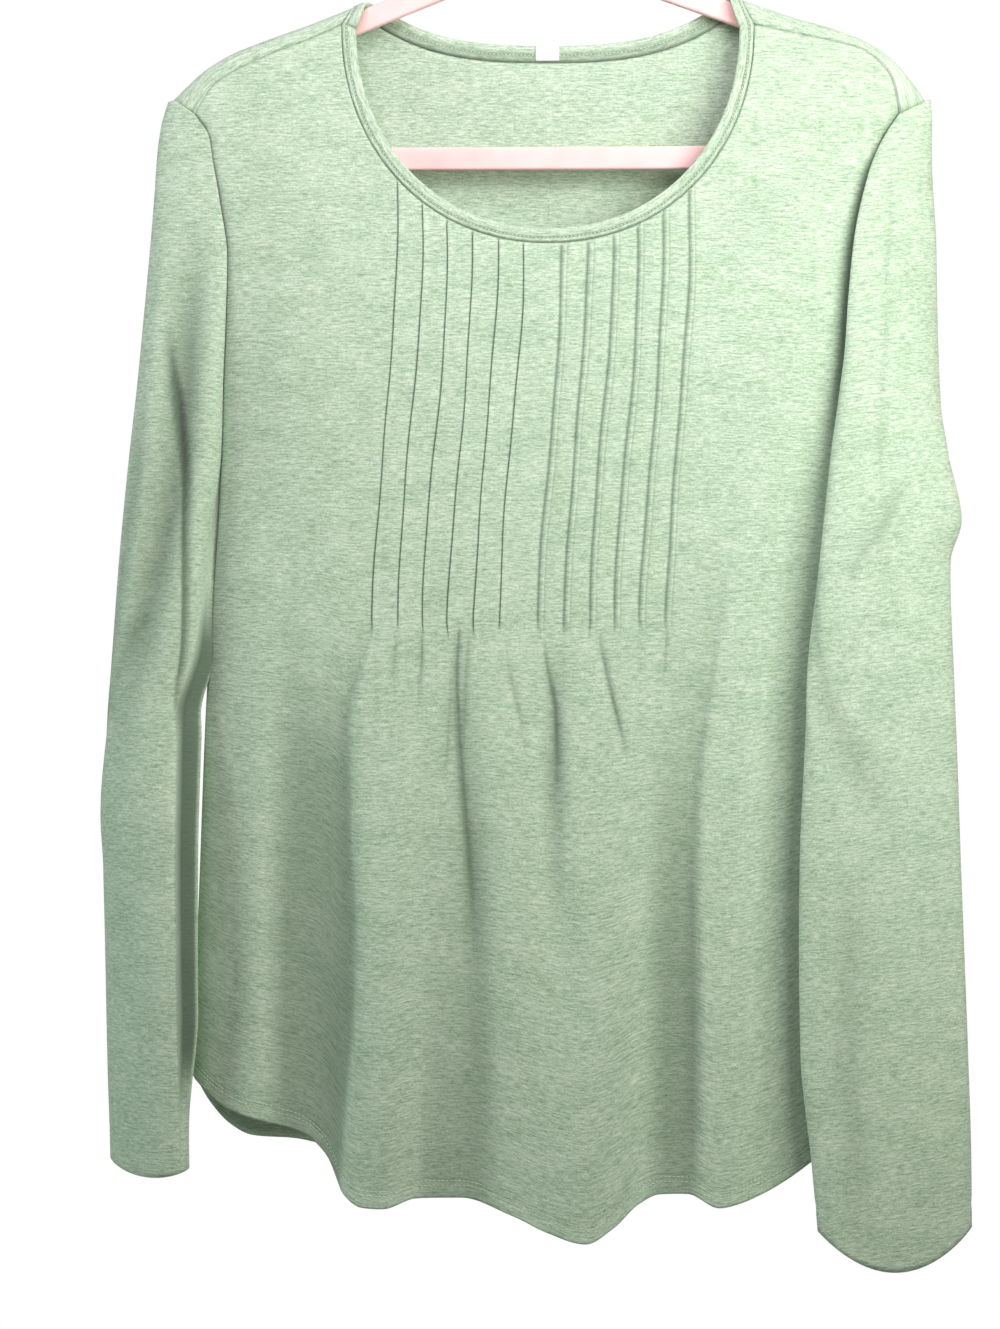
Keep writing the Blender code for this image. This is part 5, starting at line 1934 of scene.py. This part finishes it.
@dataclass
class NeckEdge:
    """The narrow folded band round the neck, its stitching and the blank label inside it."""

    form: HangingForm
    gap: float = 0.6
    width: float = 8.5
    stitch_reach: float = 3.15
    stitch_out: float = 0.42
    stitch_in: float = 1.42
    # Across the band from its seam to its folded edge: reach, height, painted shade in the seam and stitch
    # grooves
    section: tuple[Triple, ...] = (
        (-2.0, -1.45, 0.8), (-2.0, -1.15, 0.8), (-0.4, -0.85, 0.8), (0.1, 0.15, 0.25), (0.7, 0.55, 0.0),
        (1.5, 0.62, 0.0), (2.1, 0.50, 0.50), (2.6, 0.42, 0.75), (3.1, 0.50, 0.50), (3.8, 0.70, 0.0),
        (6.4, 0.66, 0.0), (7.7, 0.35, 0.0), (8.35, -0.2, 0.0), (8.5, -0.8, 0.0), (8.0, -1.35, 0.0),
        (6.0, -1.55, 0.0), (3.1, -1.5, 0.50), (2.6, -1.42, 0.75), (2.1, -1.5, 0.50), (0.4, -1.55, 0.4),
    )
    front_points: int = 180
    wrap_points: int = 22
    back_points: int = 90
    back_share: float = 0.97
    grain_start: float = 900.0
    label_width: float = 14.6
    label_height: float = 9.0
    label_wall: float = 0.5
    label_room: float = 0.9
    label_back: float = 1.5
    label_drop: float = 0.3
    label_sag: float = 0.21
    label_curl: float = 0.072

    def loop(self) -> tuple[Array, Array]:
        """Find the neckline seam all round.

        Returns:
            The points, and how far over the shoulder each one's outer side looks, from 0 to pi.
        """
        form = self.form
        neck = form.neck
        turns = np.linspace(math.pi, 0.0, self.front_points)
        xs = neck.mid_x + neck.half_width * np.cos(turns)
        zs = neck.front_z(xs)
        ys = form.panel_y(Panel.FRONT, xs, zs)
        near = np.exp(-(neck.top_z - zs) / form.shoulder_settle)
        ys = ys + (neck.seam_front_y - ys) * near
        front = np.stack([xs, ys, zs], axis=1)
        wraps = np.linspace(0.0, 1.0, self.wrap_points)[1:]
        right = np.stack(form.shoulder_point(Side.RIGHT, np.zeros(len(wraps)), wraps), axis=1)
        left = np.stack(form.shoulder_point(Side.LEFT, np.zeros(len(wraps)), wraps), axis=1)
        back_x = np.linspace(self.back_share, -self.back_share, self.back_points)
        back_x = neck.mid_x + neck.back_half_width * back_x
        back_z, back_y = neck.back(back_x)
        back = np.stack([back_x, back_y, back_z], axis=1)
        points = np.concatenate([front, right, back, left[::-1]])
        looks = np.concatenate([
            np.zeros(len(front)), math.pi * wraps, np.full(len(back), math.pi), math.pi * wraps[::-1],
        ])
        return points, looks

    def frames(self) -> tuple[Array, Array, Array]:
        """Find the band's own directions along the neckline.

        Returns:
            The seam's points, the outward ways and the ways into the opening.
        """
        points, looks = self.loop()
        along = np.roll(points, -1, axis=0) - np.roll(points, 1, axis=0)
        along /= np.linalg.norm(along, axis=1, keepdims=True)
        tilt = np.sign(points[:, 0]) * self.form.neck.shoulder_slope * np.sin(looks)
        out = np.stack([tilt, -np.cos(looks), np.sin(looks)], axis=1)
        out -= along * np.sum(out * along, axis=1, keepdims=True)
        out /= np.linalg.norm(out, axis=1, keepdims=True)
        return points, out, np.cross(out, along)

    def build_band(self, jersey: Material) -> Object:
        """Build the band.

        Args:
            jersey: Material of the cloth.

        Returns:
            The piece.
        """
        points, out, inward = self.frames()
        steps = np.linalg.norm(np.roll(points, -1, axis=0) - points, axis=1)
        run = np.concatenate([[0.0], np.cumsum(steps)[:-1]])
        lines = []
        grain = []
        dark = []
        for reach, height, shade in self.section:
            lines.append(points + inward * (self.gap + reach) + out * height)
            grain.append(np.stack([run, np.full(len(run), self.grain_start + reach)], axis=1))
            dark.append(np.full(len(run), shade))
        cloth = Cloth("neckband_cloth")
        numbers = cloth.add_grid(np.array(lines), np.array(grain), np.array(dark))
        closed = np.concatenate([numbers, numbers[:1]], axis=0)
        cloth.skin(np.concatenate([closed, closed[:, :1]], axis=1))
        LOG.info("neckband")
        return dress(cloth.make(), jersey, "sage_jersey", "neckband")

    def build_stitches(self, thread: Material) -> Object:
        """Build the row of stitches near the band's seam.

        Args:
            thread: Material of the thread.

        Returns:
            The piece.
        """
        points, out, inward = self.frames()
        cloth = Cloth("neckband_stitches")
        stitching = Stitching(length=1.6, pitch=2.4)
        stitching.lay(cloth, points + inward * self.stitch_reach + out * self.stitch_out, out)
        stitching.lay(cloth, points + inward * self.stitch_reach - out * self.stitch_in, -out)
        return dress(cloth.make(), thread, "sage_jersey")

    def build_label(self, woven: Material) -> Object:
        """Build the blank label: a short loop of ribbon sewn flat inside the back of the neck.

        Args:
            woven: Material of the ribbon.

        Returns:
            The piece.
        """
        neck = self.form.neck
        z, y = neck.back(neck.mid_x)
        row, place = np.meshgrid(np.linspace(0.0, 1.0, 8), np.linspace(-1.0, 1.0, 12), indexing="ij")
        sag = self.label_sag * np.sin(math.pi * row) + self.label_curl * place * place
        grid = np.stack([
            neck.mid_x + place * self.label_width / 2,
            y - self.label_back - self.label_room + self.label_wall / 2 - sag,
            z + row * self.label_height - self.label_drop,
        ], axis=2)
        cloth = Cloth("neck_label_ribbon")
        cloth.skin(cloth.add_grid(grid, grid[..., [0, 2]], np.zeros(grid.shape[:2])))
        LOG.info("blank label")
        return dress(cloth.make(self.label_wall, (0.0, -1.0, 0.0)), woven, "white_label", "neck_label")


@dataclass
class ThreadEnds:
    """Short loose ends of thread where a few tucks stop."""

    form: HangingForm
    starts: tuple[tuple[float, float], ...] = ((-86.0, -480.5), (-39.5, -483.0), (-22.0, -487.0))
    length: float = 6.0
    radius: float = 0.17
    steps: int = 10
    sides: int = 6
    room: float = 1.1
    bulge: float = 0.9
    bend: float = 0.45
    bend_turn: float = 2.6
    short_share: float = 0.7

    def build(self, thread: Material) -> Object:
        """Build the thread ends as small bent tubes.

        Args:
            thread: Material of the thread.

        Returns:
            The piece.
        """
        cloth = Cloth("tuck_thread_ends")
        for number, (x, z) in enumerate(self.starts):
            y = float(self.form.panel_y(Panel.FRONT, np.array(x), np.array(z))) - self.room
            drop = self.length * (1.0 if number else self.short_share)
            rings = []
            for share in np.linspace(0.0, 1.0, self.steps):
                centre = np.array([
                    x + self.length * self.bend * math.sin(share * self.bend_turn + number),
                    y - self.bulge * math.sin(share * math.pi),
                    z + drop * (0.5 - share),
                ])
                rings.append(ring(centre, self.radius, np.eye(3)[0], np.eye(3)[1], self.sides))
            cloth.tube(np.array(rings))
        return dress(cloth.make(), thread, "sage_jersey")


@dataclass
class FlockedHanger:
    """Slim flocked frame with a bottom bar, and the bent wire hook in its neck."""

    wall: float = 5.0
    edge: float = 1.7
    outer: tuple[tuple[float, float], ...] = (
        (0.0, -64.0), (-214.0, -152.5), (-206.0, -209.8), (204.0, -208.0), (212.0, -141.5),
    )
    outer_radii: tuple[float, ...] = (12.0, 15.0, 12.0, 12.0, 15.0)
    inner: tuple[tuple[float, float], ...] = (
        (0.0, -79.0), (-199.0, -160.0), (-193.0, -195.6), (192.0, -193.8), (197.5, -149.0),
    )
    inner_radii: tuple[float, ...] = (8.0, 6.0, 6.0, 6.0, 6.0)
    corner_steps: int = 14
    boss_radius: float = 4.9
    boss_top_z: float = -55.0
    boss_low_z: float = -70.0
    wire: float = 1.9
    bend_radius: float = 21.9
    shank_z: float = -64.0
    start_angle: float = -62.0
    end_angle: float = 205.0
    corner_angle: float = 40.0
    boss_sides: int = 36
    boss_taper: float = 0.8
    boss_foot: float = 3.0
    boss_shoulder: float = 2.0
    boss_hollow: float = 0.5
    wire_room: float = 0.1
    wire_trim: float = 0.05
    shank_foot: float = 0.3
    shank_rise: float = 8.0
    neck_bend_x: float = 0.32
    neck_bend_z: float = 4.6
    bend_steps: int = 60

    def _rounded(self, corners: tuple, radii: tuple) -> list[Array]:
        """Round the corners of an outline.

        Args:
            corners: Corner points as (x, z).
            radii: Radius of each corner.

        Returns:
            Points of the rounded outline.
        """
        outline = []
        for index, corner in enumerate(corners):
            here = np.array(corner)
            before = np.array(corners[index - 1]) - here
            after = np.array(corners[(index + 1) % len(corners)]) - here
            before /= np.linalg.norm(before)
            after /= np.linalg.norm(after)
            half_angle = math.acos(float(np.dot(before, after))) / 2
            middle = (before + after) / np.linalg.norm(before + after)
            centre = here + middle * radii[index] / math.sin(half_angle)
            start = here + before * radii[index] / math.tan(half_angle) - centre
            turn = math.copysign(math.pi - 2 * half_angle, start[0] * after[1] - start[1] * after[0])
            for step in range(self.corner_steps + 1):
                angle = turn * step / self.corner_steps
                outline.append(centre + np.array([
                    start[0] * math.cos(angle) - start[1] * math.sin(angle),
                    start[0] * math.sin(angle) + start[1] * math.cos(angle),
                ]))
        return outline

    def build_frame(self, flock: Material) -> Object:
        """Build the flocked frame with its neck.

        Args:
            flock: Material of the flock.

        Returns:
            The piece.
        """
        data = bpy.data.curves.new("hanger_outline", "CURVE")
        data.dimensions = "2D"
        data.fill_mode = "BOTH"
        data.extrude = (self.wall / 2 - self.edge) * MM
        data.bevel_depth = self.edge * MM
        data.bevel_resolution = 4
        data.offset = -self.edge * MM
        for corners, radii in ((self.outer, self.outer_radii), (self.inner, self.inner_radii)):
            outline = self._rounded(corners, radii)
            line = data.splines.new("POLY")
            line.points.add(len(outline) - 1)
            line.use_cyclic_u = True
            for place, (x, z) in enumerate(outline):
                line.points[place].co = (x * MM, z * MM, 0.0, 1.0)
        holder = put("hanger_outline", data)
        holder.rotation_euler = (math.pi / 2, 0.0, 0.0)
        bpy.context.view_layer.update()
        evaluated = holder.evaluated_get(bpy.context.evaluated_depsgraph_get())
        mesh = bpy.data.meshes.new_from_object(evaluated)
        mesh.transform(holder.matrix_world)
        bpy.data.objects.remove(holder, do_unlink=True)
        work = bmesh.new()
        work.from_mesh(mesh)
        bmesh.ops.remove_doubles(work, verts=work.verts, dist=0.00001)
        self._add_neck(work)
        bmesh.ops.recalc_face_normals(work, faces=work.faces)
        work.to_mesh(mesh)
        work.free()
        mesh.polygons.foreach_set("use_smooth", [True] * len(mesh.polygons))
        mesh.set_sharp_from_angle(angle=math.radians(self.corner_angle))
        made = put("hanger_frame_flocked", mesh)
        LOG.info("hanger frame")
        return dress(made, flock, "pink_flock", "hanger_frame")

    def _add_neck(self, work: bmesh.types.BMesh) -> None:
        """Add the turned neck that holds the hook.

        Args:
            work: Mesh of the frame.
        """
        low, top, radius = self.boss_low_z, self.boss_top_z, self.boss_radius
        profile = (
            (0.0, low), (radius * self.boss_taper, low), (radius, low + self.boss_foot),
            (radius, top - self.boss_shoulder), (radius * self.boss_taper, top),
            (self.wire + self.wire_room, top), (0.0, top - self.boss_hollow),
        )
        rings = []
        for reach, z in profile:
            sides = self.boss_sides if reach > 0.0 else 1
            points = ring(np.array([0.0, 0.0, z]), reach, np.eye(3)[0], np.eye(3)[1], sides)
            rings.append([work.verts.new(tuple(point * MM)) for point in points])
        for lower, upper in zip(rings, rings[1:]):
            for k in range(self.boss_sides):
                after = (k + 1) % self.boss_sides
                path = ((lower, k), (lower, after), (upper, after), (upper, k))
                corners = [level[at % len(level)] for level, at in path]
                work.faces.new(list(dict.fromkeys(corners)))

    def build_hook(self, chrome: Material) -> Object:
        """Build the bent wire hook, its ends closed with flat caps.

        Args:
            chrome: Material of the wire.

        Returns:
            The piece.
        """
        centre_z = -(self.bend_radius - self.wire)
        line = [(0.0, self.shank_z + self.shank_foot), (0.0, centre_z - self.bend_radius - self.shank_rise)]
        start = math.radians(self.start_angle)
        end = math.radians(self.end_angle)
        line.append((
            self.bend_radius * math.cos(start) * self.neck_bend_x,
            centre_z + self.bend_radius * math.sin(start) - self.neck_bend_z,
        ))
        for step in range(self.bend_steps + 1):
            angle = start + (end - start) * step / self.bend_steps
            line.append((self.bend_radius * math.cos(angle), centre_z + self.bend_radius * math.sin(angle)))
        data = bpy.data.curves.new("hook_wire", "CURVE")
        data.dimensions = "3D"
        data.bevel_depth = (self.wire - self.wire_trim) * MM
        data.bevel_resolution = 6
        data.use_fill_caps = True
        spline = data.splines.new("POLY")
        spline.points.add(len(line) - 1)
        for place, (x, z) in enumerate(line):
            spline.points[place].co = (x * MM, 0.0, z * MM, 1.0)
        made = put("hanger_hook_wire", data)
        LOG.info("hanger hook")
        return dress(made, chrome, "chrome", "hanger_hook")


@dataclass(frozen=True)
class SoftLight:
    """A square light: its name, place and size in metres, power in watts and colour."""

    name: str
    place: Triple
    size: float
    power: float
    colour: Triple


@dataclass
class Studio:
    """Pale floor, white surroundings, soft lights and the camera."""

    camera_place: Triple = (-27.9, -1640.0, -512.9)
    measured_y: float = -40.0
    picture_scale: float = 0.6
    sensor: float = 36.0
    floor_z: float = -1400.0
    floor_size: float = 3.4
    aim: Triple = (0.05, 0.0, -0.35)
    lights: tuple[SoftLight, ...] = (
        SoftLight("top_light", (-0.14, -0.54, 0.26), 0.55, 5.5, (1.0, 0.85, 1.0)),
        SoftLight("side_light", (0.52, -0.58, -0.12), 0.60, 8.3, (1.0, 0.94, 0.92)),
        SoftLight("left_light", (-1.22, -0.25, -0.46), 0.50, 6.2, (0.90, 0.97, 0.96)),
        SoftLight("back_light", (0.30, 1.30, 0.10), 1.00, 15.0, (1.0, 0.95, 0.96)),
    )
    sky: float = 0.035
    sky_tint: Colour = (0.97, 1.0, 0.97, 1.0)
    white: Colour = (1.0, 1.0, 1.0, 1.0)
    floor_colour: Colour = (0.85, 0.85, 0.84, 1.0)

    def build(self) -> None:
        """Build the surroundings."""
        self._camera()
        self._floor()
        for light in self.lights:
            self._light(light)
        bpy.context.scene.view_settings.view_transform = "Standard"
        self._sky()
        LOG.info("studio")

    def _camera(self) -> None:
        """Place the camera level in front of the top, at the picture's own viewpoint."""
        data = bpy.data.cameras.new("camera")
        made = put("camera", data)
        distance = self.measured_y - self.camera_place[1]
        picture_height = self.picture_scale * IMAGE_HEIGHT
        data.sensor_fit = "VERTICAL"
        data.sensor_height = self.sensor
        data.lens = self.sensor * distance / picture_height
        data.clip_end = 100.0
        made.location = tuple(c * MM for c in self.camera_place)
        made.rotation_euler = (math.pi / 2, 0.0, 0.0)
        bpy.context.scene.camera = made

    def _floor(self) -> None:
        """Lay the plain pale floor."""
        half = self.floor_size / 2
        mesh = bpy.data.meshes.new("floor")
        height = self.floor_z * MM
        corners = [(-half, -half, height), (half, -half, height), (half, half, height), (-half, half, height)]
        mesh.from_pydata(corners, [], [(0, 1, 2, 3)])
        made = put("floor", mesh)
        bench = Bench("pale_floor")
        bench.set(Base_Color=self.floor_colour, Roughness=0.9)
        mesh.materials.append(bench.material)

    def _light(self, light: SoftLight) -> None:
        """Place one soft light, turned to the top.

        Args:
            light: Its place, size, power and colour.
        """
        data = bpy.data.lights.new(light.name, "AREA")
        data.size = light.size
        data.energy = light.power
        data.color = light.colour
        made = put(light.name, data)
        made.visible_camera = False
        made.location = light.place
        way = np.array(self.aim) - np.array(light.place)
        flat = math.hypot(way[0], way[1])
        made.rotation_euler = (math.atan2(flat, -way[2]), 0.0, math.atan2(-way[0], way[1]))

    def _sky(self) -> None:
        """Make the surroundings white to look at and softer as a light."""
        world = bpy.data.worlds.new("white_room")
        world.use_nodes = True
        bpy.context.scene.world = world
        tree = world.node_tree
        shown = tree.nodes["Background"]
        shown.inputs["Color"].default_value = self.white
        shown.inputs["Strength"].default_value = 1.0
        lighting = tree.nodes.new("ShaderNodeBackground")
        lighting.inputs["Color"].default_value = self.sky_tint
        lighting.inputs["Strength"].default_value = self.sky
        path = tree.nodes.new("ShaderNodeLightPath")
        mix = tree.nodes.new("ShaderNodeMixShader")
        tree.links.new(path.outputs["Is Camera Ray"], mix.inputs[0])
        tree.links.new(lighting.outputs[0], mix.inputs[1])
        tree.links.new(shown.outputs[0], mix.inputs[2])
        tree.links.new(mix.outputs[0], tree.nodes["World Output"].inputs[0])


@dataclass(frozen=True)
class CutSizes:
    """Flat sizes of the cloth that shows, in metres, before it was sewn and hung."""

    front: tuple[float, float] = (0.50, 0.74)
    front_area: float = 0.318
    back: tuple[float, float] = (0.46, 0.76)
    back_area: float = 0.318
    sleeve: tuple[float, float] = (0.19, 0.66)
    band: tuple[float, float] = (0.70, 0.0105)


def main() -> None:
    logging.basicConfig(level=logging.INFO)
    form = HangingForm(NeckSizes(), TuckSizes())
    finishes = make_finishes()
    Studio().build()
    panels = BodyPanels(form)
    front = panels.build_front(finishes.jersey)
    back = panels.build_back(finishes.jersey)
    hem = panels.build_hem_stitches(finishes.thread)
    left = ArmSleeve(form, Side.LEFT, -243.0, 28.0, -818.0, 5.0, inner_shade=1.0)
    right = ArmSleeve(form, Side.RIGHT, 208.0, 47.0, -850.0, 24.0, slant=0.10)
    left_cloth = left.build(finishes.jersey)
    right_cloth = right.build(finishes.jersey)
    left_cuff = left.build_cuff_stitches(finishes.thread)
    right_cuff = right.build_cuff_stitches(finishes.thread)
    neck = NeckEdge(form)
    band = neck.build_band(finishes.jersey)
    band_stitches = neck.build_stitches(finishes.thread)
    label = neck.build_label(finishes.label)
    ends = ThreadEnds(form).build(finishes.thread)
    hanger = FlockedHanger()
    hanger.build_frame(finishes.flock)
    hanger.build_hook(finishes.chrome)


if __name__ == "__main__":
    main()
